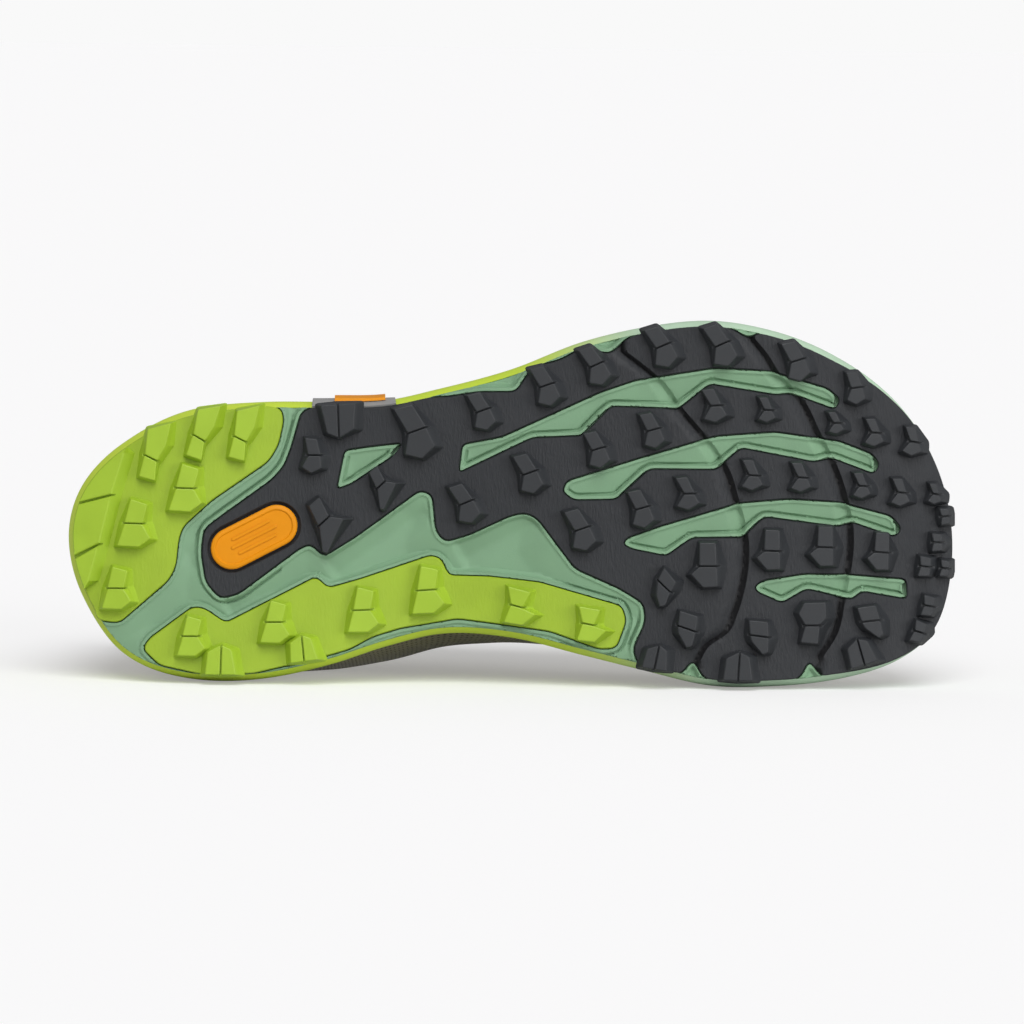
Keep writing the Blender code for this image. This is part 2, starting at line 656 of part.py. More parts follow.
def brake_outlines():
    """Tops and feet of the braking blocks, from the back of the heel to a nearly straight edge."""
    result = []
    edge_x, edge_y = np.array(BRAKE_EDGE).T
    for start, end, first, last in BRAKE_BLOCKS:
        outer, outward = outline(np.linspace(start, end, 6), BOTTOM_INSET + HEEL_BASE_TRIM)
        along = np.linspace(first, last, 4)
        inner = np.array([place(x, y) for x, y in zip(np.interp(along, edge_y, edge_x), along)])
        ramp = inner + np.array((LUG_TOE_RAMP, 0))
        result.append((np.concatenate([outer, inner[::-1]]), np.concatenate([outer, ramp[::-1]])))
    return result


def make_lugs(name, blocks):
    """All lugs of one plate as a hidden tool, each reaching into the plate."""
    points = []
    faces = []
    for top, foot in blocks:
        some, walls = lug_solid(top, foot)
        faces += [tuple(i + len(points) for i in wall) for wall in walls]
        points += some
    return tool(make_object(name, points, faces))


def tool(obj):
    obj.hide_render = True
    obj.display_type = "WIRE"
    return obj


def join(obj, other, operation="UNION"):
    modifier = obj.modifiers.new(other.name, "BOOLEAN")
    modifier.operation = operation
    modifier.solver = "EXACT"
    modifier.use_self = True
    modifier.object = other


def stadium(centre, turn, length, width, steps=ROUND_STEPS):
    """Closed outline of a bar with round ends."""
    radius = width / 2
    half = length / 2 - radius
    angle = math.radians(turn)
    along = np.array((math.cos(angle), math.sin(angle)))
    across = np.array((-math.sin(angle), math.cos(angle)))
    result = []
    for end, start in ((half, -90), (-half, 90)):
        for i in range(steps + 1):
            a = math.radians(start + 180 * i / steps)
            point = np.array(centre) + along * (end + radius * math.cos(a)) + across * radius * math.sin(a)
            result.append(tuple(point))
    return result


def forefoot_outline():
    """Closed outline of the charcoal forefoot plate."""
    points = [place(x, y) for x, y in FOREFOOT_BORDER]
    start = FOREFOOT_MEDIAL_FROM
    for before, apex_x, apex_y, after in MEDIAL_NOTCHES:
        points += rim(start, before, "medial", "medial", inset=BOTTOM_INSET)
        points.append(place(apex_x, apex_y))
        start = after
    side = "medial"
    for before, apex_x, apex_y, after in LATERAL_NOTCHES:
        points += rim(start, before, side, "lateral")
        points.append(place(apex_x, apex_y))
        start = after
        side = "lateral"
    points += rim(start, LATERAL_BORDER_FROM, "lateral", "lateral")
    points += [place(x, y) for x, y in LATERAL_BORDER]
    points += rim(WRAP_RIM_TO, WRAP_RIM_FROM, "lateral", "lateral")
    return points


def make_forefoot(material):
    """Charcoal plate with its windows, lugs and the wrap up the lateral side."""
    holes = [cut_corners([place(x, y) for x, y in window]) for window in WINDOWS]
    pocket = stadium(place(*INLAY_CENTRE), INLAY_TURN, INLAY_LENGTH + 2 * GAP, INLAY_WIDTH + 2 * GAP)
    holes.append(pocket)
    outer = cut_corners(forefoot_outline(), CORNER_CUT / 2)
    points, faces = slab(outer, holes, plate_face, plate_back, SHEET_PITCH * 1.5)
    plate = make_object("outsole_forefoot", points, faces, material)
    join(plate, make_lugs("forefoot_lugs", lug_outlines(FOREFOOT_LUGS)))
    join(plate, make_wrap())
    return plate


def side_band(profile, turn_from, turn_to, count, end_share=1.0):
    """A bar along the side wall. The profile gives insets and heights above the foam's face for a
    share of its full height, which falls to the end share at the first turn."""
    turns = np.linspace(turn_from, turn_to, count)
    shares = np.interp(np.linspace(0, 1, count), (0, WRAP_SLOPE), (end_share, 1))
    size = len(profile(1.0))
    points = []
    for turn, share in zip(turns, shares):
        for inset, height in profile(share):
            flat, outward = outline([turn], inset)
            x, y = flat[0]
            points.append((x, y, float(foam_face(x, y)) + height))
    faces = [tuple(range(size)), tuple(range((count - 1) * size, count * size))[::-1]]
    for row in range(count - 1):
        for i in range(size):
            j = (i + 1) % size
            a = row * size
            faces.append((a + i, a + size + i, a + size + j, a + j))
    return points, faces


def side_inset(height):
    """Inset of the midsole's side wall at a height above the foam's face, below the side step."""
    span = SIDE_HEIGHT - LUG_HEIGHT - PLATE_THICKNESS - GAP
    shares = [row[1] * span for row in SIDE_PROFILE]
    return float(np.interp(height, shares, [row[0] * BOTTOM_INSET for row in SIDE_PROFILE]))


def make_wrap():
    """Band of the forefoot plate that climbs the lateral side wall."""
    back = -GAP - PLATE_THICKNESS * WRAP_ROOT[0]
    front = -GAP - PLATE_THICKNESS * WRAP_ROOT[1]

    def profile(share):
        inner = [(BOTTOM_INSET * 2, back), (BOTTOM_INSET - GAP, back)]
        inner += [(side_inset(h * share) - WRAP_CLEARANCE, h * share) for h in WRAP_HEIGHTS]
        outer = [(inset - WRAP_THICKNESS, h) for inset, h in inner[2:]][::-1]
        return inner + outer + [(BOTTOM_INSET - WRAP_THICKNESS, front), (BOTTOM_INSET * 2, front)]

    turns = (turn_of(WRAP_TO, "lateral"), turn_of(WRAP_FROM, "lateral"))
    points, faces = side_band(profile, *turns, WRAP_POINTS, WRAP_END_SHARE)
    return tool(make_object("lateral_wrap", points, faces))


def make_side_inlay(material):
    """Orange bar on the outside of the wrap."""
    face = WRAP_CLEARANCE + WRAP_THICKNESS + GAP
    low = side_inset(STRIP_LOW) - face
    high = side_inset(STRIP_HIGH) - face
    chamfer = INLAY_RISE * STRIP_CHAMFER
    middle = (STRIP_LOW + STRIP_HIGH) / 2
    profile = [(low, STRIP_LOW), (side_inset(middle) - face, middle), (high, STRIP_HIGH)]
    profile += [(high - INLAY_RISE, STRIP_HIGH - chamfer), (low - INLAY_RISE, STRIP_LOW + chamfer)]
    turns = (turn_of(STRIP_TO, "lateral"), turn_of(STRIP_FROM, "lateral"))
    points, faces = side_band(lambda share: profile, *turns, STRIP_POINTS)
    return make_object("side_inlay", points, faces, material)


def make_heel(material):
    """Lime heel plate with its lugs and braking blocks."""
    points = [place(x, y) for x, y in HEEL_BORDER]
    points += rim(HEEL_RIM_LATERAL, HEEL_RIM_MEDIAL, "lateral", "medial")[::-1]
    plate_points, faces = slab(cut_corners(points, CORNER_CUT / 2), [], plate_face, plate_back)
    plate = make_object("outsole_heel", plate_points, faces, material)
    join(plate, make_lugs("heel_lugs", lug_outlines(HEEL_LUGS) + brake_outlines()))
    return plate


def make_medial(material):
    """Lime strip along the medial side."""
    outer = cut_corners([place(x, y) for x, y in MEDIAL_STRIP])
    points, faces = slab(outer, [], plate_face, plate_back)
    plate = make_object("outsole_medial", points, faces, material)
    join(plate, make_lugs("medial_lugs", lug_outlines(MEDIAL_LUGS)))
    return plate


def make_sole_inlay(material):
    """Orange inlay with a raised face, in the pocket of the forefoot plate."""
    centre = place(*INLAY_CENTRE)
    outer = stadium(centre, INLAY_TURN, INLAY_LENGTH, INLAY_WIDTH)
    crown = stadium(centre, INLAY_TURN, INLAY_LENGTH - 2 * INLAY_BEVEL, INLAY_WIDTH - 2 * INLAY_BEVEL)
    levels = ((outer, plate_back, 0.0), (outer, plate_face, 0.0), (crown, plate_face, -INLAY_RISE))
    rings = []
    for loop, height, lift in levels:
        xy = np.array(loop)
        rings.append([(x, y, z + lift) for (x, y), z in zip(loop, height(xy[:, 0], xy[:, 1]))])
    count = len(outer)
    points = [p for ring in rings for p in ring]
    faces = [tuple(range(count)), tuple(range(2 * count, 3 * count))[::-1]]
    for r in range(2):
        for i in range(count):
            j = (i + 1) % count
            faces.append((r * count + i, r * count + j, (r + 1) * count + j, (r + 1) * count + i))
    return make_object("sole_inlay", points, faces, material)


def wall_point(turns, levels):
    """Points of the upper's middle form: a meridian from the sole to the opening, for each turn.

    Each meridian stands straight inside the midsole's lip and goes on as a cubic Bezier curve, so
    its lower handle gives the bulge over the sole and its upper handle the crown of the opening.
    """
    turns = np.asarray(turns, float)
    levels = np.asarray(levels, float)
    table = np.array(UPPER_MERIDIANS, float)
    before = table[-2] - (360, 0, 0, 0, 0, 0, 0, 0)
    after = table[1] + (360, 0, 0, 0, 0, 0, 0, 0)
    table = np.concatenate([[before], table, [after]])
    columns = [through(table[:, 0], table[:, i], np.mod(turns, 360)) for i in range(1, 8)]
    edge_x, edge_y, edge_z, lower_rise, bulge, reach, drop = columns
    flat, outward = outline(turns, UPPER_INSET)
    floor = footbed(flat[..., 0], flat[..., 1]) + GAP
    above_lip = side_top(flat[..., 0], flat[..., 1]) + LIP_CLEARANCE
    base = np.stack([flat[..., 0], flat[..., 1], above_lip], axis=-1)
    edge = np.stack([edge_x * SOLE_LENGTH, edge_y * BALL_WIDTH, edge_z * COLLAR_HEIGHT], axis=-1) / 100
    out = np.concatenate([outward, np.zeros_like(outward[..., :1])], axis=-1)
    up = np.zeros_like(out)
    up[..., 2] = 1
    lower = base + up * (lower_rise * COLLAR_HEIGHT / 100)[..., None]
    lower += out * (bulge * BALL_WIDTH / 100)[..., None]
    upper = edge + out * (reach * BALL_WIDTH / 100)[..., None]
    upper -= up * (drop * COLLAR_HEIGHT / 100)[..., None]
    t = np.clip((levels - STRAIGHT_SHARE) / (1 - STRAIGHT_SHARE), 0, None)[..., None]
    point = (1 - t) ** 3 * base + 3 * (1 - t) ** 2 * t * lower
    point += 3 * (1 - t) * t * t * upper + t ** 3 * edge
    straight = np.clip(1 - levels / STRAIGHT_SHARE, 0, 1)
    point[..., 2] -= (above_lip - floor) * straight
    return point


def wall_normal(turns, levels):
    """Outward unit normal of the upper's form, from small steps round and up."""
    turns = np.asarray(turns, float)
    levels = np.clip(np.asarray(levels, float), 0.01, 0.99)
    around = wall_point(turns + 1.0, levels) - wall_point(turns - 1.0, levels)
    upwards = wall_point(turns, levels + 0.01) - wall_point(turns, levels - 0.01)
    normal = np.cross(upwards, around)
    return normal / np.linalg.norm(normal, axis=-1, keepdims=True)


def overlay(turns, levels):
    """Extra thickness of the wall where an overlay lies."""
    proud = np.zeros(np.broadcast(turns, levels).shape)
    for start, end, low, high in OVERLAYS.values():
        proud = np.where((turns >= start) & (turns <= end) & (levels >= low) & (levels <= high),
                         OVERLAY_STEP, proud)
    return proud


def make_upper(material):
    """The hollow upper: an outer and an inner wall joined at the sole and round the opening."""
    turns = set(np.arange(RING_POINTS) * 360 / RING_POINTS)
    for start, end, _, _ in OVERLAYS.values():
        if start > 0:
            turns |= {start - OVERLAY_TURN, start}
        if end < 360:
            turns |= {end, end + OVERLAY_TURN}
    turns = sorted(t for t in turns if 0 <= t < 360)
    around, level = np.meshgrid(turns, WALL_LEVELS)
    middle = wall_point(around, level)
    normal = wall_normal(around, level)
    outer = middle + normal * overlay(around, level)[..., None]
    inner = middle - normal * UPPER_WALL
    inner[0, :, 2] = middle[0, :, 2]
    outer[0, :, 2] = middle[0, :, 2]
    rows, size = around.shape
    rings = [list(map(tuple, outer[r])) for r in range(rows)]
    rings += [list(map(tuple, inner[r])) for r in reversed(range(rows))]
    rings.append(rings[0])
    points = [p for ring in rings[:-1] for p in ring]
    total = len(rings) - 1
    faces = []
    for r in range(total):
        for i in range(size):
            j = (i + 1) % size
            s = (r + 1) % total
            faces.append((r * size + i, r * size + j, s * size + j, s * size + i))
    return make_object("upper", points, faces, material)


def instep(along, across, lift):
    """A point over the throat: along 0 at its front and 1 at the collar, across -1 and 1 on the
    medial and lateral edge, and past them on the wall. The lift is along the surface's normal."""
    along = np.asarray(along, float)
    across = np.asarray(across, float)
    lift = np.asarray(lift, float)
    turn = THROAT_FRONT + (THROAT_BACK - THROAT_FRONT) * along
    beyond = np.clip(np.abs(across) - 1, 0, None)
    level = 1 - beyond * WALL_SHARE
    medial = wall_point(turn, level)
    lateral = wall_point(360 - turn, level)
    medial_normal = wall_normal(turn, level)
    lateral_normal = wall_normal(360 - turn, level)
    share = np.clip((across + 1) / 2, 0, 1)[..., None]
    point = medial * (1 - share) + lateral * share
    normal = medial_normal * (1 - share) + lateral_normal * share
    normal /= np.linalg.norm(normal, axis=-1, keepdims=True)
    crown = INSTEP_CROWN * np.clip(1 - across ** 2, 0, 1) * np.clip(along * 4, 0, 1)
    return point + normal * (lift + crown)[..., None]


def make_tongue(material):
    """Padded tongue under the throat, tucked under the vamp and rising past the collar."""
    across = np.array(TONGUE_ACROSS)
    along = np.linspace(0, 1, TONGUE_ROWS)
    half = (180 - THROAT_FRONT) * TONGUE_FRONT_SHARE
    middle = len(across) // 2
    grid_along, grid_across = np.meshgrid(along, across, indexing="ij")
    sheets = []
    seat = -UPPER_WALL - TONGUE_CLEARANCE
    for lift in (seat, seat - TONGUE_THICKNESS):
        body = instep(grid_along, grid_across, np.full(grid_along.shape, lift))
        turns = 180 + across / across[-1] * half
        front = []
        for level in (1 - TONGUE_TUCK, 1 - TONGUE_TUCK / 2, 1.0):
            levels = np.full(turns.shape, level)
            front.append(wall_point(turns, levels) + wall_normal(turns, levels) * lift)
        top = []
        last = body[-1]
        direction = body[-1, middle] - body[-3, middle]
        direction /= np.linalg.norm(direction)
        for share, width in TONGUE_TAB:
            row = last[middle] + (last - last[middle]) * width + direction * TONGUE_TOP * share
            row[:, 2] -= TONGUE_CLEARANCE
            top.append(row)
        sheets.append(np.concatenate([np.array(front), body, np.array(top)]))
    rows, size = sheets[0].shape[:2]
    points = np.concatenate([s.reshape(-1, 3) for s in sheets])
    count = rows * size
    faces = []
    for r in range(rows - 1):
        for i in range(size - 1):
            a, b, c, d = r * size + i, r * size + i + 1, (r + 1) * size + i + 1, (r + 1) * size + i
            faces.append((a, b, c, d))
            faces.append((a + count, d + count, c + count, b + count))
    edge = list(range(size))
    edge += [r * size + size - 1 for r in range(1, rows)]
    edge += [(rows - 1) * size + i for i in reversed(range(size - 1))]
    edge += [r * size for r in reversed(range(1, rows - 1))]
    for i, a in enumerate(edge):
        b = edge[(i + 1) % len(edge)]
        faces.append((b, a, a + count, b + count))
    return make_object("tongue", points, faces, material)


def make_insole(material):
    """Removable insole with a slightly raised edge."""
    turns = np.arange(INSOLE_POINTS) * 360 / INSOLE_POINTS
    clear = UPPER_INSET + UPPER_WALL * INSOLE_CLEARANCE + 2 * GAP

    def ring(inset, lift):
        points, outward = outline(turns, inset)
        return [(x, y, z + lift) for (x, y), z in zip(points, footbed(points[:, 0], points[:, 1]))]

    rings = [ring(clear + INSOLE_BEVEL, 2 * GAP), ring(clear, 2 * GAP + INSOLE_BEVEL)]
    rings.append(ring(clear, INSOLE_THICKNESS + INSOLE_EDGE))
    rings.append(ring(clear + INSOLE_EDGE_WIDTH, INSOLE_THICKNESS))
    points, faces = loft(rings, lambda x, y: footbed(x, y) + 2 * GAP,
                         lambda x, y: footbed(x, y) + INSOLE_THICKNESS)
    return make_object("insole", points, faces, material)


def tube(path, normals, width, thickness, sides):
    """Points and faces of a flat cord along a path, with its flat side facing the normals."""
    path = np.asarray(path)
    along = np.gradient(path, axis=0)
    along /= np.linalg.norm(along, axis=1, keepdims=True)
    side = np.cross(along, normals)
    side /= np.linalg.norm(side, axis=1, keepdims=True)
    up = np.cross(side, along)
    angles = (np.arange(sides) + 0.5) * 2 * math.pi / sides
    ring = side[:, None, :] * (np.cos(angles) * width / 2)[None, :, None]
    ring = ring + up[:, None, :] * (np.sin(angles) * thickness / 2)[None, :, None]
    points = (path[:, None, :] + ring).reshape(-1, 3)
    count = len(path)
    faces = [tuple(range(sides)), tuple(range((count - 1) * sides, count * sides))[::-1]]
    for r in range(count - 1):
        for i in range(sides):
            j = (i + 1) % sides
            faces.append((r * sides + i, (r + 1) * sides + i, (r + 1) * sides + j, r * sides + j))
    return points, faces


def lace_path(first_side):
    """Route of one end of the lace: across the throat at each row, turning at the eyelets."""
    along = []
    across = []
    side = first_side
    for row, share in enumerate(EYELET_ROWS):
        along.append(share)
        across.append(side * EYELET_REACH)
        if row + 1 < len(EYELET_ROWS):
            following = EYELET_ROWS[row + 1]
            for part in (0.25, 0.5, 0.75):
                along.append(share + (following - share) * part)
                across.append(side * EYELET_REACH * (1 - 2 * part))
        side = -side
    lift = np.full(len(along), OVERLAY_STEP + 3 * GAP + LACE_THICKNESS / 2)
    path = instep(along, across, lift)
    normals = instep(along, across, lift + 0.001) - path
    return path, normals


def make_lace(material):
    """Lace crossings: two zigzags that cross between the eyelet rows, joined into one solid."""
    parts = []
    for number, side in enumerate((-1, 1)):
        path, normals = lace_path(side)
        points, faces = tube(path, normals, LACE_WIDTH, LACE_THICKNESS, LACE_SIDES)
        parts.append(make_object("lace" if number == 0 else "lace_other_end", points, faces))
    parts[0].data.materials.append(material)
    join(parts[0], tool(parts[1]))
    path, normals = lace_path(-1)
    start, start_normals = lace_path(1)
    lift = OVERLAY_STEP + 3 * GAP + LACE_THICKNESS / 2
    bar = instep([EYELET_ROWS[0]] * BAR_POINTS, np.linspace(-1, 1, BAR_POINTS) * EYELET_REACH,
                 np.full(BAR_POINTS, lift))
    bar[0] = path[0]
    bar[-1] = start[0]
    bar_normals = np.linspace(normals[0], start_normals[0], BAR_POINTS)
    points, faces = tube(bar, bar_normals, LACE_WIDTH, LACE_THICKNESS, LACE_SIDES)
    join(parts[0], tool(make_object("lace_bar", points, faces)))
    return parts[0]


def centre_of(obj):
    """Volume and centre of a closed mesh, from the tetrahedra to the origin."""
    mesh = obj.data
    mesh.calc_loop_triangles()
    corners = np.array([[mesh.vertices[i].co for i in t.vertices] for t in mesh.loop_triangles])
    volumes = np.einsum("ij,ij->i", corners[:, 0], np.cross(corners[:, 1], corners[:, 2])) / 6
    centres = corners.sum(axis=1) / 4
    return volumes.sum(), (centres * volumes[:, None]).sum(axis=0) / volumes.sum()


def lie_down(solids):
    """Lay the shoe on its medial side: rest on the hull's face under the centre of mass."""
    turn = Matrix(((1, 0, 0, 0), (0, 0, 1, 0), (0, -1, 0, 0), (0, 0, 0, 1)))
    hull = bmesh.new()
    mass = 0.0
    centre = Vector((0, 0, 0))
    for obj, density in solids:
        volume, middle = centre_of(obj)
        mass += volume * density
        centre += Vector(middle) * volume * density
        for vertex in obj.data.vertices:
            hull.verts.new(turn @ vertex.co)
    centre = turn @ (centre / mass)
    result = bmesh.ops.convex_hull(hull, input=hull.verts)
    best = None
    for face in result["geom"]:
        if not isinstance(face, bmesh.types.BMFace) or len(face.verts) != 3:
            continue
        a, b, c = (v.co.xy for v in face.verts)
        signs = [(q - p).cross(centre.xy - p) for p, q in ((a, b), (b, c), (c, a))]
        if min(signs) >= 0 or max(signs) <= 0:
            height = min(v.co.z for v in face.verts)
            if best is None or height < best[0]:
                normal = face.normal if face.normal.z < 0 else -face.normal
                best = (height, normal.copy())
    hull.free()
    level = best[1].rotation_difference(Vector((0, 0, -1))).to_matrix().to_4x4()
    pose = level @ turn
    corners = [pose @ v.co for obj, density in solids for v in obj.data.vertices]
    low = Vector([min(c[i] for c in corners) for i in range(3)])
    high = Vector([max(c[i] for c in corners) for i in range(3)])
    middle = (low + high) / 2
    shift = Matrix.Translation((-middle.x, -middle.y, -low.z))
    return shift @ pose


def main():
    for obj in list(bpy.data.objects):
        bpy.data.objects.remove(obj)
    charcoal = make_material("charcoal_rubber", (0.043, 0.046, 0.050), 0.62)
    lime = make_material("lime_rubber", (0.36, 0.56, 0.04), 0.55)
    lime_strip = make_material("lime_strip_rubber", (0.36, 0.56, 0.04), 0.55)
    sage = make_material("sage_foam", (0.21, 0.38, 0.22), 0.75)
    orange = make_material("orange_rubber", (0.83, 0.30, 0.01), 0.45)
    orange_bar = make_material("orange_bar", (0.83, 0.30, 0.01), 0.45)
    knit = make_material("taupe_mesh", (0.10, 0.09, 0.06), 0.9)
    padding = make_material("tongue_cloth", (0.08, 0.07, 0.05), 0.9)
    liner = make_material("insole_cloth", (0.05, 0.05, 0.055), 0.95)
    cord = make_material("lace_cord", (0.06, 0.06, 0.05), 0.8)
    rubber = [make_forefoot(charcoal), make_heel(lime), make_medial(lime_strip)]
    rubber += [make_sole_inlay(orange), make_side_inlay(orange_bar)]
    foam = make_midsole(sage)
    cloth = [make_upper(knit), make_tongue(padding), make_insole(liner), make_lace(cord)]
    tools = [obj for obj in bpy.data.objects if obj.hide_render]
    weights = [(obj, RUBBER_DENSITY) for obj in rubber]
    weights += [(obj, RUBBER_DENSITY) for obj in tools if "lugs" in obj.name or "wrap" in obj.name]
    weights += [(foam, FOAM_DENSITY)] + [(obj, CLOTH_DENSITY) for obj in cloth]
    pose = bpy.data.objects.new("lying_pose", None)
    bpy.context.scene.collection.objects.link(pose)
    pose.matrix_world = lie_down(weights)
    for obj in list(bpy.data.objects):
        if obj.type == "MESH":
            obj.parent = pose


main()
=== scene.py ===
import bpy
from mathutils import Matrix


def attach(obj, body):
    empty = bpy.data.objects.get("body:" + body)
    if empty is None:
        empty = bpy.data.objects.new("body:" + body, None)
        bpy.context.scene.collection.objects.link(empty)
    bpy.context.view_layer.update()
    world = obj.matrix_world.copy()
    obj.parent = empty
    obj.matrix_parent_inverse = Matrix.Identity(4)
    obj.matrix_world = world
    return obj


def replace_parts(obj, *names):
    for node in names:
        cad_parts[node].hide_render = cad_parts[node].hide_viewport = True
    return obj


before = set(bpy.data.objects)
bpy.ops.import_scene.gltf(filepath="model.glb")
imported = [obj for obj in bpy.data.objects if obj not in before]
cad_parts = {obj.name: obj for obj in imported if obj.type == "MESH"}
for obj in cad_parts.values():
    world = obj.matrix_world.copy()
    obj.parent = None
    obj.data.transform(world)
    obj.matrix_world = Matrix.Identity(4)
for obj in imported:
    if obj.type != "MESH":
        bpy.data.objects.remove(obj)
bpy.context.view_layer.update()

# %% [markdown]
# A trail running shoe for the right foot, lying on its medial side with the sole towards the camera.
# It could be made as one sculpted mesh, or as the pieces that a factory joins: rubber plates, foam,
# cloth, lace. The pieces are made here, because each one then has its own edge, gap and material.
# Every piece is worked out standing, x from the heel to the toe, y towards the medial side and z up
# from the plane of the lug tops. One matrix, the lying pose of the CAD, puts it in the row frame.

# %% Sizes and tables
import math

import bpy
import numpy as np
from mathutils import Matrix, Vector
from mathutils.geometry import delaunay_2d_cdt

MM = 0.001
SOLE_LENGTH = 0.300
BALL_WIDTH = 0.122
COLLAR_HEIGHT = 0.104
LUG_HEIGHT = 3.8 * MM
PLATE_THICKNESS = 2.2 * MM
FOOTBED_HEIGHT = 22.5 * MM
FOOTBED_FOLLOW = 0.8
SIDE_HEIGHT = 30.0 * MM
TOE_SPRING = 13.0 * MM
HEEL_BEVEL = 6.0 * MM
ARCH_RISE = 3.0 * MM
UPPER_WALL = 2.2 * MM
TONGUE_THICKNESS = 4.5 * MM
INSOLE_THICKNESS = 4.0 * MM
GAP = 0.3 * MM
BOTTOM_INSET = 2.2 * MM
LIP_INSET = 1.8 * MM
LIP_WIDTH = 3.4 * MM
UPPER_INSET = LIP_INSET + LIP_WIDTH + GAP
TOE_RIM_OUT = 1.6 * MM
TOE_RIM_START = 0.86
TOE_RIM_SPAN = 0.09
SPRING_START = 0.68
BEVEL_END = 0.15
ARCH_MIDDLE = 0.43
ARCH_REACH = 0.15

# The lying pose: shoe frame to row frame, metres
LYING = np.array((
    (0.9999369, 0.0112299, 0.0004178, -0.1501225),
    (0.0004178, -0.0743028, 0.9972357, -0.0548908),
    (0.0112299, -0.9971725, -0.0743028, 0.0550253),
))

# Tables hold percent of the sole's length and of the ball's width
SOLE_OUTLINE = (
    (0.0, 4.4, 4.4), (1.7, -10.2, 21.5), (6.2, -21.3, 36.8), (14.0, -30.6, 44.0), (22.0, -32.7, 44.0),
    (30.0, -32.8, 39.8), (36.0, -33.2, 35.0), (42.0, -36.4, 31.6), (50.0, -41.7, 32.6),
    (58.0, -49.3, 37.4), (65.0, -53.4, 41.7), (72.0, -55.2, 45.7), (80.0, -52.1, 46.0),
    (88.0, -43.5, 43.6), (94.0, -31.6, 38.6), (98.3, -14.3, 28.7), (100.0, 7.5, 7.5),
)
LATERAL_BORDER = (
    (63.0, -50.1), (61.1, -45.7), (58.0, -47.4), (55.5, -44.1), (52.5, -42.2),
    (51.5, -38.8), (50.6, -35.3), (46.5, -35.3), (43.0, -34.0),
)
FOREFOOT_BORDER = (
    (27.7, -31.0), (26.5, -29.7), (25.4, -20.1), (24.6, -14.9), (23.2, -11.0), (17.4, -0.8),
    (15.6, 2.6), (15.3, 9.0), (15.8, 17.1), (17.4, 21.6), (19.4, 20.4), (26.4, 7.6),
    (27.6, 6.6), (29.0, 10.0), (32.5, 4.7), (39.8, -8.3), (41.2, -7.0), (41.6, 3.0),
    (42.6, 6.0), (45.4, 3.9), (49.9, -1.2), (51.6, -2.1), (53.0, -0.4), (57.2, 13.4),
    (62.2, 18.9), (64.9, 23.0), (65.1, 28.1), (63.7, 35.6), (64.2, 39.4), (66.5, 42.0),
)
MEDIAL_NOTCHES = ((68.9, 70.4, 38.6, 71.6), (82.4, 83.5, 38.8, 84.9))
LATERAL_NOTCHES = ((78.0, 76.6, -50.2, 74.6),)
HEEL_BORDER = (
    (22.1, -31.6), (24.2, -30.8), (24.5, -27.5), (23.9, -20.7), (22.8, -16.2), (16.3, -5.2),
    (13.2, 1.8), (12.7, 5.5), (12.4, 12.7), (11.6, 16.6), (6.0, 28.4), (3.5, 27.6),
)
MEDIAL_STRIP = (
    (8.7, 35.6), (9.4, 32.8), (14.3, 24.0), (15.6, 24.4), (18.0, 28.4), (26.0, 18.4), (28.1, 15.7),
    (29.5, 18.8), (33.1, 16.3), (41.0, 9.8), (42.1, 10.6), (43.0, 15.3), (47.6, 15.6),
    (53.2, 17.2), (62.4, 23.8), (62.9, 27.8), (61.8, 35.2), (60.0, 35.6), (54.4, 30.7),
    (50.0, 29.1), (44.0, 27.2), (37.6, 29.8), (34.4, 32.2), (31.9, 35.6), (28.0, 38.4),
    (21.0, 42.3), (15.1, 42.4), (10.6, 40.0),
)
WINDOWS = (
    ((31.3, -19.3), (34.8, -20.5), (37.9, -21.3), (36.7, -17.4), (32.2, -10.0), (30.4, -8.3)),
    (
        (44.1, -12.9), (44.5, -20.9), (49.0, -23.0), (60.0, -35.3), (64.0, -38.6), (72.9, -42.0),
        (79.0, -41.2), (85.6, -36.4), (87.0, -33.4), (86.4, -30.4), (81.3, -35.0), (79.8, -34.4),
        (72.3, -37.4), (68.8, -30.6), (61.2, -31.3), (58.0, -23.2), (52.4, -22.6),
    ),
    (
        (55.7, -7.8), (56.2, -10.8), (64.5, -17.2), (72.9, -23.2), (79.6, -24.4), (86.9, -21.9),
        (90.6, -18.4), (91.5, -15.4), (90.8, -12.6), (85.8, -17.2), (84.1, -15.9), (75.8, -19.8),
        (73.0, -13.8), (65.5, -14.0), (61.8, -5.6), (57.0, -5.4),
    ),
    (
        (63.4, 8.0), (62.5, 6.6), (63.0, 4.9), (66.7, 1.7), (75.7, -4.8), (81.3, -5.9), (86.9, -5.0),
        (92.8, -1.2), (94.0, 2.4), (93.2, 4.8), (88.2, 0.6), (86.7, 1.9), (78.4, -0.8), (76.0, 4.8),
        (70.3, 5.0), (67.4, 10.0),
    ),
    (
        (77.5, 19.8), (77.3, 18.2), (78.3, 16.6), (83.0, 14.8), (88.0, 15.0), (94.5, 16.3), (94.6, 22.0),
        (89.4, 19.8), (88.3, 22.1), (83.2, 19.1), (80.4, 23.0),
    ),
)

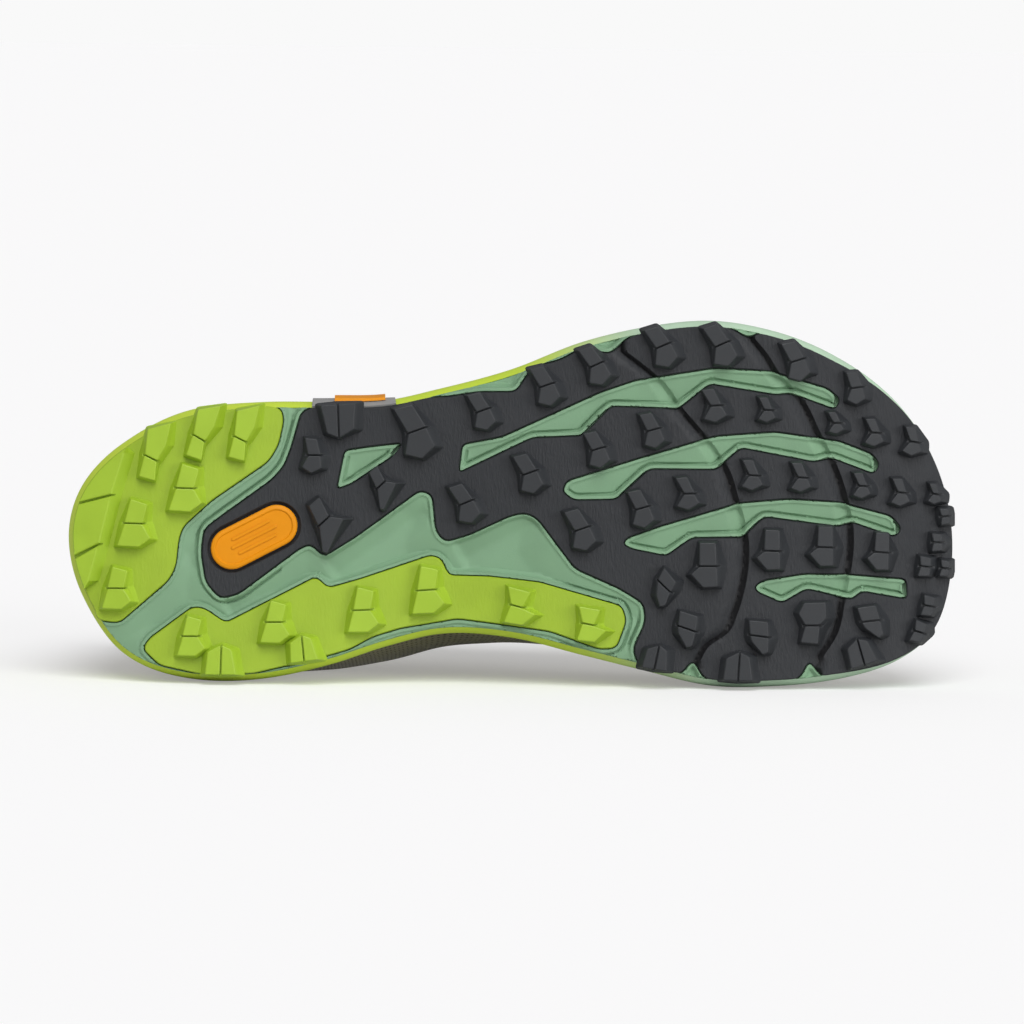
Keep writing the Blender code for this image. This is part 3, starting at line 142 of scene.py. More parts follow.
# Lug forms in millimetres: x towards the toe, y medial. A lug has two parts, which share the cut
# that is the first edge of each. The first six forms are placed by the heel end of the cut, the
# others by a point near the middle of the form.
LUG_FORMS = {
    "bracket": (((0.0, 0.0), (4.4, -1.6), (1.0, -7.2), (-3.6, -6.0)),
                ((4.4, -1.6), (0.0, 0.0), (-0.8, 5.2), (3.4, 6.2), (6.6, 3.0))),
    "hook": (((0.0, 0.0), (3.6, -0.2), (0.8, -6.2), (-3.4, -5.6)),
             ((3.6, -0.2), (0.0, 0.0), (-2.6, 4.6), (1.6, 5.8), (5.6, 3.2))),
    "fang": (((0.0, 0.0), (3.5, -3.3), (0.2, -9.8), (-3.4, -6.8)),
             ((3.5, -3.3), (0.0, 0.0), (1.2, 8.6), (2.8, 9.2), (8.2, -2.6))),
    "flag": (((0.0, 0.0), (6.1, 0.6), (5.7, -4.6), (-0.6, -5.0)),
             ((6.1, 0.6), (0.0, 0.0), (0.8, 2.4), (4.4, 6.4), (6.2, 5.6))),
    "crest": (((0.0, 0.0), (5.0, 0.0), (7.2, -2.4), (7.2, -8.2), (-0.4, -8.0), (-2.4, -4.2)),
              ((5.0, 0.0), (0.0, 0.0), (-1.7, 5.9), (4.4, 6.6))),
    "leaf": (((0.0, 0.0), (4.2, 4.2), (6.2, 0.8), (2.2, -4.2)),
             ((4.2, 4.2), (0.0, 0.0), (-0.4, 5.0), (0.8, 9.0), (2.6, 8.6))),
    "arrow": (((-2.5, 0.2), (3.5, 0.2), (3.2, -8.1), (-2.5, -8.1)),
              ((3.5, 0.2), (-2.5, 0.2), (-5.5, 3.0), (-1.2, 7.7), (3.9, 7.4))),
    "block": (((-2.8, 0.2), (3.4, 0.2), (5.0, -6.7), (-1.0, -8.4)),
              ((3.4, 0.2), (-2.8, 0.2), (-5.2, 8.2), (2.4, 8.4), (6.4, 5.2))),
    "toe": (((-2.4, 0.0), (2.8, 0.0), (2.6, -5.0), (-3.6, -5.6)),
            ((2.8, 0.0), (-2.4, 0.0), (-3.6, 5.6), (2.6, 5.0))),
    "ridge": (((-2.2, -1.0), (2.0, 1.2), (5.0, -4.2), (7.0, -12.2), (-1.2, -10.0)),
              ((2.0, 1.2), (-2.2, -1.0), (-4.3, 6.6), (1.4, 8.2))),
    "wedge": (((-1.2, 0.0), (2.6, 0.8), (5.0, -4.6), (-2.6, -6.0)),
              ((2.6, 0.8), (-1.2, 0.0), (-3.2, 6.0), (3.0, 6.6), (7.0, 2.6))),
    "rim": (((0.2, 5.2), (0.6, -6.0), (-4.6, -3.4), (-5.6, 5.2)),
            ((0.6, -6.0), (0.2, 5.2), (6.0, 5.2), (4.4, -4.2))),
}
FOREFOOT_LUGS = (
    ("bracket", 27.3, -17.8, 20, 0.85), ("rim", 30.8, -27.6, 176, 1.00), ("fang", 28.5, 1.7, 0, 1.00),
    ("fang", 35.0, -8.6, 0, 0.78), ("bracket", 38.5, -23.8, 0, 1.35), ("bracket", 44.3, -4.1, -3, 1.00),
    ("bracket", 46.2, -29.6, 0, 0.95), ("bracket", 53.3, -36.5, 0, 1.00), ("bracket", 58.9, -42.0, -5, 1.00),
    ("bracket", 51.4, -12.4, 0, 1.00), ("bracket", 59.1, -19.1, 3, 0.92), ("bracket", 65.3, -24.4, 4, 0.88),
    ("bracket", 57.2, 3.1, 0, 1.05), ("bracket", 64.0, -2.8, 4, 0.95), ("bracket", 66.3, -47.2, -4, 1.05),
    ("bracket", 72.9, -47.6, -4, 1.08), ("hook", 72.4, -31.4, 0, 0.95), ("hook", 78.4, -30.3, 6, 0.70),
    ("bracket", 81.4, -43.4, 2, 1.00), ("bracket", 88.2, -36.3, 12, 0.80), ("hook", 86.2, -26.7, 2, 0.62),
    ("hook", 90.5, -24.1, 6, 0.78), ("hook", 94.9, -21.7, 12, 0.80), ("hook", 69.4, -7.2, 2, 0.92),
    ("hook", 76.7, -12.3, 6, 0.85), ("hook", 82.2, -11.7, 6, 0.82), ("hook", 89.1, -9.4, 6, 0.72),
    ("hook", 93.5, -7.6, 8, 0.78), ("hook", 97.5, -7.2, 10, 0.58), ("toe", 98.9, -1.0, -6, 0.50),
    ("toe", 98.0, 6.2, 0, 0.55), ("toe", 98.9, 13.4, 6, 0.50), ("toe", 96.6, 12.9, 6, 0.62),
    ("arrow", 71.9, 12.6, 0, 0.95), ("arrow", 79.1, 8.4, 2, 0.85), ("arrow", 85.1, 7.4, 2, 0.85),
    ("arrow", 91.5, 8.8, 4, 0.80), ("leaf", 66.4, 16.5, 0, 1.00), ("flag", 68.7, 29.1, 14, 1.00),
    ("flag", 76.8, 31.7, 2, 1.00), ("crest", 83.0, 29.1, 0, 0.95), ("flag", 89.4, 28.2, -12, 1.00),
    ("toe", 97.0, 23.8, 10, 0.62), ("toe", 95.9, 31.0, 18, 0.65), ("rim", 66.2, 38.0, 10, 0.72),
    ("rim", 75.4, 40.6, 2, 0.85), ("rim", 89.2, 36.8, -18, 0.80),
)
HEEL_LUGS = (
    ("ridge", 9.7, -17.2, 0, 0.95), ("ridge", 15.1, -22.7, 4, 0.92), ("ridge", 19.7, -22.4, 0, 0.92),
    ("block", 13.4, -8.9, 2, 0.95), ("block", 7.6, 0.8, 2, 0.95), ("block", 5.6, 18.7, 0, 0.85),
)
MEDIAL_LUGS = (
    ("block", 14.0, 31.9, 0, 0.80), ("rim", 17.4, 38.8, 0, 0.88), ("block", 23.4, 28.0, 0, 0.85),
    ("rim", 26.6, 35.6, -8, 0.78), ("block", 33.2, 24.7, -2, 0.90), ("block", 40.4, 19.2, -4, 0.95),
    ("wedge", 50.4, 23.4, 4, 1.00), ("wedge", 58.4, 28.4, 0, 0.95),
)

# Braking blocks: start and end in degrees round the outline, and y at their straight inner edge
BRAKE_BLOCKS = ((-29.5, -10.2, -18.4, -7.2), (-9.4, 4.9, -6.6, 6.3), (5.9, 13.5, 7.0, 16.8))
BRAKE_EDGE = ((6.6, -18.4), (5.3, -8.3), (3.7, 6.9), (2.3, 19.0))

# Flex grooves of the forefoot, lines from the medial to the lateral rim
FLEX_GROOVES = (
    ((70.6, 39.0), (71.8, 34.5), (73.6, 31.5), (74.8, 26.0), (75.5, 20.5), (76.1, 6.0), (74.9, -6.5),
     (73.9, -14.0), (71.4, -23.0), (68.8, -30.5), (66.2, -39.0), (64.0, -43.4), (62.2, -46.8)),
    ((84.4, 38.0), (85.9, 32.5), (87.0, 22.0), (87.9, 2.0), (87.3, -6.0), (85.8, -16.5), (84.3, -23.5),
     (82.2, -33.5), (79.5, -40.8), (78.3, -45.5), (76.8, -50.0)),
)

# Creases of the foam between the plates: start, end, depth in mm at each, reach below and above
CREASES = (
    ((18.7, 24.9), (27.0, 14.6), 1.5, 0.4, 2.5, 9.0),
    ((30.6, 14.6), (39.4, -1.4), 1.9, 1.2, 6.0, 14.0),
    ((44.9, 10.4), (54.0, -1.0), 1.9, 1.0, 6.0, 12.0),
)
INLAY_CENTRE = (21.2, 4.7)
INLAY_TURN = -27.0
INLAY_LENGTH = 31.0 * MM
INLAY_WIDTH = 14.0 * MM

# Side wall of the midsole: inset share, height share from the foam's face to the top edge. Its
# top: percent of the sole's length, percent of the side's height
SIDE_PROFILE = ((1.00, 0.00), (0.35, 0.14), (0.00, 0.36), (0.05, 0.56))
SIDE_TOP = ((0, 115), (12, 112), (30, 108), (46, 104), (60, 94), (80, 88), (100, 92))

# Meridians of the upper: turn, opening edge x, y, height, lower handle's rise and bulge, upper
# handle's reach outwards and drop
UPPER_MERIDIANS = (
    (0, 3.6, 6.5, 100, 26, 1.5, 2.5, 26), (12, 4.2, 14.0, 99.5, 26, 1.5, 2.5, 26),
    (26, 7.0, 21.5, 96, 26, 2.0, 2.5, 24), (45, 14.5, 28.5, 84, 22, 3.0, 3.0, 18),
    (62, 24.5, 29.5, 83, 22, 12.0, 9.0, 16), (75, 33.0, 20.5, 96, 24, 20.0, 15.0, 14),
    (86, 37.5, 12.5, 102, 26, 19.0, 16.0, 8), (100, 45.5, 8.5, 92, 24, 9.0, 18.0, 4),
    (120, 54.0, 5.0, 78, 21, 4.0, 22.0, 4), (140, 60.0, 1.5, 70, 19, 3.0, 27.0, 5),
    (160, 62.6, -2.4, 66.5, 17, 2.0, 38.0, 6), (180, 63.2, -6.0, 65.5, 16, 2.0, 46.0, 7),
    (200, 62.6, -9.6, 66.5, 17, 2.0, 38.0, 6), (220, 60.0, -12.5, 70, 19, 2.0, 27.0, 5),
    (240, 54.0, -13.5, 78, 21, 2.0, 20.0, 4), (260, 45.5, -13.0, 92, 24, 3.0, 14.0, 4),
    (274, 37.5, -13.5, 102, 26, 5.0, 10.0, 8), (285, 33.0, -18.5, 96, 24, 5.0, 8.0, 14),
    (298, 24.5, -20.0, 81, 22, 4.0, 5.0, 16), (315, 14.5, -15.5, 81, 22, 2.0, 3.0, 18),
    (334, 7.0, -8.5, 95, 26, 2.0, 2.5, 24), (348, 4.2, -1.0, 99.5, 26, 1.5, 2.5, 26),
    (360, 3.6, 6.5, 100, 26, 1.5, 2.5, 26),
)
OVERLAYS = ((128, 232, 0.09, 0.305), (-48, 48, 0.09, 0.555), (80, 280, 0.885, 1.1))
STRAIGHT_SHARE = 0.08
LIP_CLEARANCE = 1.2 * MM
THROAT_FRONT = 150.0
THROAT_BACK = 87.0
INSTEP_CROWN = 1.6 * MM
WALL_SHARE = 0.14
EYELET_ROWS = (0.06, 0.22, 0.39, 0.56, 0.73, 0.90)
EYELET_REACH = 1.42

# %% [markdown]
# Every piece is a surface over a plan, a loft of rings or a grid, so a few functions make them all.
# A boolean modifier could cut the plates, but arrays keep the edge loops where the light needs them.

# %% Curves and outlines


def place(points):
    """Table points in percent as metres."""
    return np.asarray(points, float) * (SOLE_LENGTH / 100, BALL_WIDTH / 100)


def unit(vectors):
    """Vectors of length 1, along the last axis."""
    return vectors / np.maximum(np.linalg.norm(vectors, axis=-1, keepdims=True), 1e-9)


def turned(degrees):
    """The way along and the way across of a plan that is turned."""
    angle = math.radians(degrees)
    return np.array(((math.cos(angle), math.sin(angle)), (-math.sin(angle), math.cos(angle))))


def travelled(line):
    """Length from a line's start to each of its points."""
    return np.concatenate([[0], np.cumsum(np.linalg.norm(np.diff(line, axis=0), axis=1))])


def along_line(at, length, values):
    """Values at some lengths along a line."""
    return np.stack([np.interp(at, length, column) for column in values.T], axis=1)


def through(knots, values, at):
    """Smooth curve through the values at the knots: cubic pieces with slopes from the neighbours."""
    knots, values = np.asarray(knots, float), np.asarray(values, float)
    slopes = np.gradient(values, knots)
    at = np.clip(np.asarray(at, float), knots[0], knots[-1])
    i = np.clip(np.searchsorted(knots, at, side="right") - 1, 0, len(knots) - 2)
    width = knots[i + 1] - knots[i]
    t = (at - knots[i]) / width
    value = (1 + 2 * t) * (1 - t) ** 2 * values[i] + t * t * (3 - 2 * t) * values[i + 1]
    return value + t * (1 - t) * width * ((1 - t) * slopes[i] - t * slopes[i + 1])


def outline(turns, inset=0.0):
    """Points of the sole's outline at the turns in degrees, moved in by the inset, and its normals.
    x follows half a cosine wave, so the points gather at the round heel and toe."""
    table = np.array(SOLE_OUTLINE)
    knots = np.degrees(np.arccos(1 - table[:, 0] / 50))

    def point(turn):
        turn = np.mod(turn, 360)
        half = np.where(turn <= 180, turn, 360 - turn)
        x = (1 - np.cos(np.radians(half))) / 2 * SOLE_LENGTH
        medial, lateral = (through(knots, table[:, i], half) for i in (2, 1))
        return np.stack([x, np.where(turn <= 180, medial, lateral) * BALL_WIDTH / 100], axis=-1)

    turns = np.asarray(turns, float)
    along = unit(point(turns + 0.5) - point(turns - 0.5))
    outward = np.stack([-along[..., 1], along[..., 0]], axis=-1)
    return point(turns) - outward * np.asarray(inset)[..., None], outward


def turn_of(x, side):
    """Turn in degrees where the outline reaches x percent on a side."""
    half = math.degrees(math.acos(1 - x / 50))
    return half if side == "medial" else 360 - half


def rim(x_from, x_to, side_from, side_to, inset=BOTTOM_INSET, step=2.0):
    """Outline points in percent from a place onwards in the sense heel, medial, toe, lateral."""
    start, end = turn_of(x_from, side_from), turn_of(x_to, side_to)
    if side_from == "lateral" and side_to == "medial":
        start -= 360
    turns = np.linspace(start, end, max(2, round((end - start) / step) + 1))
    toe = np.clip((outline(turns, inset)[0][:, 0] / SOLE_LENGTH - TOE_RIM_START) / TOE_RIM_SPAN, 0, 1)
    points, _ = outline(turns, inset - TOE_RIM_OUT * toe)
    return [tuple(p) for p in points / (SOLE_LENGTH / 100, BALL_WIDTH / 100)]


def rounded(points, radius, steps=5):
    """Closed outline whose corners are replaced by parabolas that start at most radius away."""
    points = np.asarray(points, float)
    before, after = np.roll(points, 1, axis=0) - points, np.roll(points, -1, axis=0) - points
    lengths = [np.linalg.norm(way, axis=1, keepdims=True) for way in (before, after)]
    start = points + before / lengths[0] * np.minimum(radius, lengths[0] * 0.48)
    end = points + after / lengths[1] * np.minimum(radius, lengths[1] * 0.48)
    t = np.linspace(0, 1, steps)[:, None]
    arcs = [(1 - t) ** 2 * a + 2 * t * (1 - t) * b + t * t * c for a, b, c in zip(start, points, end)]
    return np.concatenate(arcs)


def resampled(points, pitch, closed=True):
    """Points at even steps along a line."""
    line = np.concatenate([points, points[:1]]) if closed else np.asarray(points, float)
    length = travelled(line)
    count = max(3, round(length[-1] / pitch))
    at = np.linspace(0, length[-1], count + (0 if closed else 1), endpoint=not closed)
    return along_line(at, length, line)


def normals_of(loop):
    """Unit normals to the right of a closed loop's way."""
    way = unit(np.roll(loop, -1, axis=0) - np.roll(loop, 1, axis=0))
    return np.stack([way[:, 1], -way[:, 0]], axis=1)


def area(loop):
    following = np.roll(loop, -1, axis=0)
    return np.sum(loop[:, 0] * following[:, 1] - following[:, 0] * loop[:, 1]) / 2


def counterclockwise(loop):
    return loop if area(loop) > 0 else loop[::-1]


def inside(points, loop):
    """Whether each point is inside the closed loop, by the crossings of a ray along x."""
    result = np.zeros(len(points), bool)
    x, y = points[:, 0], points[:, 1]
    for a, b in zip(loop, np.roll(loop, -1, axis=0)):
        if a[1] != b[1]:
            crosses = (a[1] > y) != (b[1] > y)
            result ^= crosses & (a[0] + (y - a[1]) / (b[1] - a[1]) * (b[0] - a[0]) > x)
    return result


def nearest(points, start, end, chunk=4000):
    """Distance from each point to each segment, in chunks: yields the slice and the distances."""
    way_x, way_y = (end - start).T
    square = np.maximum(way_x ** 2 + way_y ** 2, 1e-18)
    for first in range(0, len(points), chunk):
        x, y = (points[first:first + chunk, i, None] - start[:, i] for i in (0, 1))
        share = np.clip((x * way_x + y * way_y) / square, 0, 1)
        x -= way_x * share
        y -= way_y * share
        yield slice(first, first + chunk), np.sqrt(x * x + y * y)


def distance(points, loop, closed=True):
    """Distance from each point to a line."""
    start = np.asarray(loop, float)
    end = np.roll(start, -1, axis=0) if closed else start[1:]
    start = start if closed else start[:-1]
    result = np.zeros(len(points))
    for part, away in nearest(points, start, end):
        result[part] = away.min(axis=1)
    return result


def smoothstep(low, high, value):
    t = np.clip((value - low) / (high - low), 0, 1)
    return t * t * (3 - 2 * t)


# %% [markdown]
# The sole isn't flat: it rises to the toe and the heel and a little under the arch. The rubber, the
# foam and the footbed could each be bent by a lattice, but one shared function keeps them parallel.

# %% Heights of the sole


def rise(x, y):
    """Height of the lug tops: toe spring, heel bevel and arch."""
    u = x / SOLE_LENGTH
    toe = np.clip((u - SPRING_START) / (1 - SPRING_START), 0, None) ** 2 * TOE_SPRING
    heel = np.clip((BEVEL_END - u) / BEVEL_END, 0, None) ** 2 * HEEL_BEVEL
    waist = np.clip(1 - ((u - ARCH_MIDDLE) / ARCH_REACH) ** 2, 0, None) ** 2
    return toe + heel + waist * np.clip(0.5 + y / BALL_WIDTH * 2, 0, 1) * ARCH_RISE


def plate_face(x, y):
    return rise(x, y) + LUG_HEIGHT


def foam_face(x, y):
    return plate_face(x, y) + PLATE_THICKNESS + GAP


def footbed(x, y):
    return rise(x, y) * FOOTBED_FOLLOW + FOOTBED_HEIGHT


def side_top(x, y):
    table = np.array(SIDE_TOP, float)
    return rise(x, y) + SIDE_HEIGHT * through(table[:, 0], table[:, 1], x / SOLE_LENGTH * 100) / 100


# %% [markdown]
# All pieces become plain meshes in one way. Modifiers could thicken and round them later, but points
# that are worked out beforehand are the very faces that the render shows.

# %% Meshes


def piece(name, points, faces, material, facing=None, uv=None, crease=35, values=None):
    """A mesh from shoe-frame points, laid down by the lying pose, with its faces pointing out.
    Point attribute "shoe" keeps the place in millimetres, for patterns that follow the shoe."""
    points = np.asarray(points, float).reshape(-1, 3)
    world = points @ LYING[:, :3].T + LYING[:, 3]
    faces = [tuple(map(int, face)) for face in faces]
    fans = np.array([(f[0], f[i], f[i + 1]) for f in faces for i in range(1, len(f) - 1)])
    a, b, c = (world[fans[:, i]] for i in range(3))
    flow = np.cross(b - a, c - a)
    middle = world.mean(axis=0)
    outward = np.sum(flow * (a - middle)) if facing is None else np.sum(flow @ (LYING[:, :3] @ facing))
    if outward < 0:
        faces = [face[::-1] for face in faces]
    mesh = bpy.data.meshes.new(name)
    mesh.from_pydata(world.tolist(), [], faces)
    mesh.attributes.new("shoe", "FLOAT_VECTOR", "POINT").data.foreach_set("vector", (points / MM).ravel())
    for key, value in (values or {}).items():
        mesh.attributes.new(key, "FLOAT", "POINT").data.foreach_set("value", np.asarray(value, float).ravel())
    if uv is not None:
        corners = np.zeros(len(mesh.loops), int)
        mesh.loops.foreach_get("vertex_index", corners)
        flat_uv = np.asarray(uv).reshape(-1, 2)[corners]
        mesh.uv_layers.new(name="UVMap").data.foreach_set("uv", flat_uv.ravel())
    mesh.materials.append(material)
    mesh.shade_smooth()
    mesh.set_sharp_from_angle(angle=math.radians(crease))
    obj = bpy.data.objects.new(name, mesh)
    bpy.context.scene.collection.objects.link(obj)
    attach(obj, "root")
    print(name, len(mesh.vertices), "points", len(fans), "triangles")
    return obj


def grid_faces(rows, columns, close_rows=False, close_columns=True):
    """Quads of a grid of points stored row by row."""
    r = np.arange(rows if close_rows else rows - 1)[:, None]
    c = np.arange(columns if close_columns else columns - 1)[None, :]
    r2, c2 = (r + 1) % rows, (c + 1) % columns
    quads = np.stack(np.broadcast_arrays(r * columns + c, r * columns + c2, r2 * columns + c2,
                                         r2 * columns + c), axis=-1)
    return quads.reshape(-1, 4)


def capped(rows, size):
    """Quads of a tube that is stored ring by ring, and the two faces that close its ends."""
    faces = [tuple(face) for face in grid_faces(rows, size)]
    return faces + [tuple(range(size))[::-1], tuple(range((rows - 1) * size, rows * size))]


def together(parts):
    """Several (points, faces) as one."""
    points, faces, count = [], [], 0
    for some, walls in parts:
        points.append(np.asarray(some, float).reshape(-1, 3))
        faces += [tuple(int(i) + count for i in wall) for wall in walls]
        count += len(points[-1])
    return np.concatenate(points), faces


def spread(loops, holes, extra, keep):
    """Delaunay triangles over points: loops and holes are kept as edges. Returns points and triangles."""
    points, edges = [], []
    for loop in list(loops) + list(holes):
        first = len(points)
        points += [tuple(p) for p in loop]
        edges += [(first + i, first + (i + 1) % len(loop)) for i in range(len(loop))]
    points += [tuple(p) for p in extra]
    flat, _, faces, _, _, _ = delaunay_2d_cdt(points, edges, [], 0, 1e-8)
    flat = np.array([tuple(p) for p in flat])
    faces = np.array(faces)
    return flat, faces[keep(flat[faces].mean(axis=1))]


def lattice(loop, pitch):
    """Points of a grid, every other row shifted, inside the box of a loop."""
    low, high = loop.min(axis=0), loop.max(axis=0)
    x, y = np.meshgrid(np.arange(low[0], high[0], pitch), np.arange(low[1], high[1], pitch * 0.87))
    x = x + np.where(np.arange(len(x)) % 2, pitch / 2, 0)[:, None]
    return np.stack([x.ravel(), y.ravel()], axis=1)

# %% [markdown]
# Rubber, foam and cloth differ in grain, gloss and how light breaks at their edges. Each could be an
# image, but a pattern worked out from the place on the shoe stays sharp and has no seams. Node
# groups give the shared grain, and the Principled shader stays in each material.

# %% Materials


def add(tree, kind, inputs=None, **settings):
    """A node with its settings. An input's value may be another node's socket."""
    made = tree.nodes.new(kind)
    for key, value in settings.items():
        setattr(made, key, value)
    for key, value in (inputs or {}).items():
        if isinstance(value, bpy.types.NodeSocket):
            tree.links.new(value, made.inputs[key])
        else:
            made.inputs[key].default_value = value
    return made


def group(name, inputs, outputs):
    tree = bpy.data.node_groups.new(name, "ShaderNodeTree")
    for key, kind, value in inputs:
        socket = tree.interface.new_socket(key, in_out="INPUT", socket_type=kind)
        if value is not None:
            socket.default_value = value
    for key, kind in outputs:
        tree.interface.new_socket(key, in_out="OUTPUT", socket_type=kind)
    return tree, tree.nodes.new("NodeGroupInput").outputs, tree.nodes.new("NodeGroupOutput").inputs


def math_node(tree, operation, first, second=0.0):
    return add(tree, "ShaderNodeMath", {0: first, 1: second}, operation=operation).outputs[0]


def make_grain():
    """Grain of moulded rubber and foam: long fine lines across the shoe and an even fine tooth."""
    tree, given, result = group("moulded_grain", (("Place", "NodeSocketVector", None),
                                                  ("Lines", "NodeSocketFloat", 1.0)),
                                (("Height", "NodeSocketFloat"), ("Cloud", "NodeSocketFloat")))
    stretched = add(tree, "ShaderNodeMapping", {"Vector": given["Place"], "Scale": (1.2, 0.30, 0.30)})
    lines = add(tree, "ShaderNodeTexNoise", {"Vector": stretched.outputs[0], "Scale": 1.0, "Detail": 2.0,
                                             "Roughness": 0.6, "Distortion": 0.25})
    sharp = add(tree, "ShaderNodeMapRange", {"Value": lines.outputs["Fac"], "From Min": 0.38,
                                             "From Max": 0.62})
    tooth = add(tree, "ShaderNodeTexNoise", {"Vector": given["Place"], "Scale": 4.5, "Detail": 3.0})
    cloud = add(tree, "ShaderNodeTexNoise", {"Vector": given["Place"], "Scale": 0.09, "Detail": 4.0})
    both = math_node(tree, "MULTIPLY", sharp.outputs[0], given["Lines"])
    fine = math_node(tree, "MULTIPLY", tooth.outputs["Fac"], 0.35)
    tree.links.new(math_node(tree, "ADD", both, fine), result["Height"])
    tree.links.new(cloud.outputs["Fac"], result["Cloud"])
    return tree


def make_weave():
    """Weave of a knitted mesh in the UV's metres: rows of loops with small dark openings."""
    tree, given, result = group("knitted_mesh", (("Place", "NodeSocketVector", None),
                                                 ("Pitch", "NodeSocketFloat", 1.2)),
                                (("Height", "NodeSocketFloat"), ("Opening", "NodeSocketFloat")))
    scale = math_node(tree, "DIVIDE", 1000.0, given["Pitch"])
    scaled = add(tree, "ShaderNodeVectorMath", {0: given["Place"], "Scale": scale}, operation="SCALE")
    cells = add(tree, "ShaderNodeTexVoronoi", {"Vector": scaled.outputs[0], "Scale": 1.0, "Randomness": 0.12},
                voronoi_dimensions="2D")
    opening = add(tree, "ShaderNodeMapRange", {"Value": cells.outputs["Distance"], "From Min": 0.16,
                                               "From Max": 0.34, "To Min": 1.0, "To Max": 0.0})
    thread = add(tree, "ShaderNodeTexWave", {"Vector": scaled.outputs[0], "Scale": 0.9, "Distortion": 1.5,
                                             "Detail": 1.0}, bands_direction="DIAGONAL")
    low = math_node(tree, "MULTIPLY", opening.outputs[0], -0.8)
    tree.links.new(math_node(tree, "ADD", low, math_node(tree, "MULTIPLY", thread.outputs["Fac"], 0.35)),
                   result["Height"])
    tree.links.new(opening.outputs[0], result["Opening"])
    return tree


GRAIN = make_grain()
WEAVE = make_weave()


def start(name, roughness, **sockets):
    """A material, its node tree and its Principled shader with constants on its own sockets."""
    material = bpy.data.materials.new(name)
    material.use_nodes = True
    tree = material.node_tree
    shader = tree.nodes["Principled BSDF"]
    shader.inputs["Roughness"].default_value = roughness
    for key, value in sockets.items():
        shader.inputs[key.replace("_", " ")].default_value = value
    return material, tree, shader


def shade(tree, low, high, factor):
    """A colour between two, by a factor. Each may be a colour or another node's socket."""
    first, second = (c if isinstance(c, bpy.types.NodeSocket) else (*c, 1) for c in (low, high))
    made = add(tree, "ShaderNodeMix", {"Factor": factor, "A": first, "B": second}, data_type="RGBA")
    return made.outputs["Result"]


def bump(tree, shader, height, strength, depth):
    made = add(tree, "ShaderNodeBump", {"Height": height, "Strength": strength, "Distance": depth})
    tree.links.new(made.outputs[0], shader.inputs["Normal"])


def rubber(name, colour, roughness, lines=1.0, other=None, mask=None, **sockets):
    """Moulded rubber or foam. An attribute may mix a second colour in, such as painted shade in grooves."""
    material, tree, shader = start(name, roughness, **sockets)
    spot = add(tree, "ShaderNodeAttribute", attribute_name="shoe").outputs["Vector"]
    grain = add(tree, "ShaderNodeGroup", {"Place": spot, "Lines": lines}, node_tree=GRAIN)
    dark, light = ([c * k for c in colour] for k in (0.90, 1.10))
    tint = shade(tree, dark, light, grain.outputs["Cloud"])
    if other:
        amount = add(tree, "ShaderNodeAttribute", attribute_name=mask).outputs["Fac"]
        tint = shade(tree, tint, other, amount)
    tree.links.new(tint, shader.inputs["Base Color"])
    rough = add(tree, "ShaderNodeMapRange", {"Value": grain.outputs["Cloud"], "From Min": 0.3,
                                             "From Max": 0.7, "To Min": roughness - 0.06,
                                             "To Max": roughness + 0.06})
    tree.links.new(rough.outputs[0], shader.inputs["Roughness"])
    bump(tree, shader, grain.outputs["Height"], 1.0, 0.12 * MM)
    return material


def cloth(name, colour, pitch, overlay=None, **sockets):
    """Knitted mesh, with an attribute that turns it into a smooth welded overlay."""
    material, tree, shader = start(name, 0.85, **sockets)
    spot = add(tree, "ShaderNodeTexCoord").outputs["UV"]
    weave = add(tree, "ShaderNodeGroup", {"Place": spot, "Pitch": pitch}, node_tree=WEAVE)
    tint = shade(tree, colour, [c * 0.35 for c in colour], weave.outputs["Opening"])
    height = weave.outputs["Height"]
    if overlay:
        amount = add(tree, "ShaderNodeAttribute", attribute_name="overlay").outputs["Fac"]
        tint = shade(tree, tint, overlay, amount)
        height = math_node(tree, "MULTIPLY", height, math_node(tree, "SUBTRACT", 1.0, amount))
        rough = add(tree, "ShaderNodeMapRange", {"Value": amount, "To Min": 0.88, "To Max": 0.55})
        tree.links.new(rough.outputs[0], shader.inputs["Roughness"])
    tree.links.new(tint, shader.inputs["Base Color"])
    bump(tree, shader, height, 0.6, 0.3 * MM)
    return material


CHARCOAL = (0.0155, 0.0170, 0.0200)
LIME = (0.270, 0.392, 0.014)
SAGE = (0.165, 0.292, 0.174)
ORANGE = (0.65, 0.235, 0.0005)
# Painted shade: where the "groove" attribute is 1, the charcoal turns near-black, standing in for the shade
# in the flex grooves.
charcoal = rubber("charcoal_base", CHARCOAL, 0.62, lines=0.7, other=(0.004, 0.004, 0.005),
                  mask="groove", Specular_IOR_Level=0.4)
charcoal_top = rubber("charcoal_lug", (0.020, 0.022, 0.025), 0.55, lines=0.05, Specular_IOR_Level=0.4)
lime = rubber("lime_base", LIME, 0.55, lines=0.25)
lime_top = rubber("lime_lug", (0.283, 0.425, 0.017), 0.50, lines=0.03)
foam = rubber("sage_foam", SAGE, 0.70, lines=0.05)
wall = rubber("side_foam", (0.40, 0.55, 0.40), 0.68, lines=0.05, other=(0.48, 0.62, 0.035), mask="lime")
wrap_rubber = rubber("wrap_rubber", (0.245, 0.245, 0.24), 0.60, lines=0.2)
orange = rubber("orange_rubber", ORANGE, 0.5, lines=0.0, Specular_IOR_Level=0.2, Coat_Weight=0.05,
                Coat_Roughness=0.3)
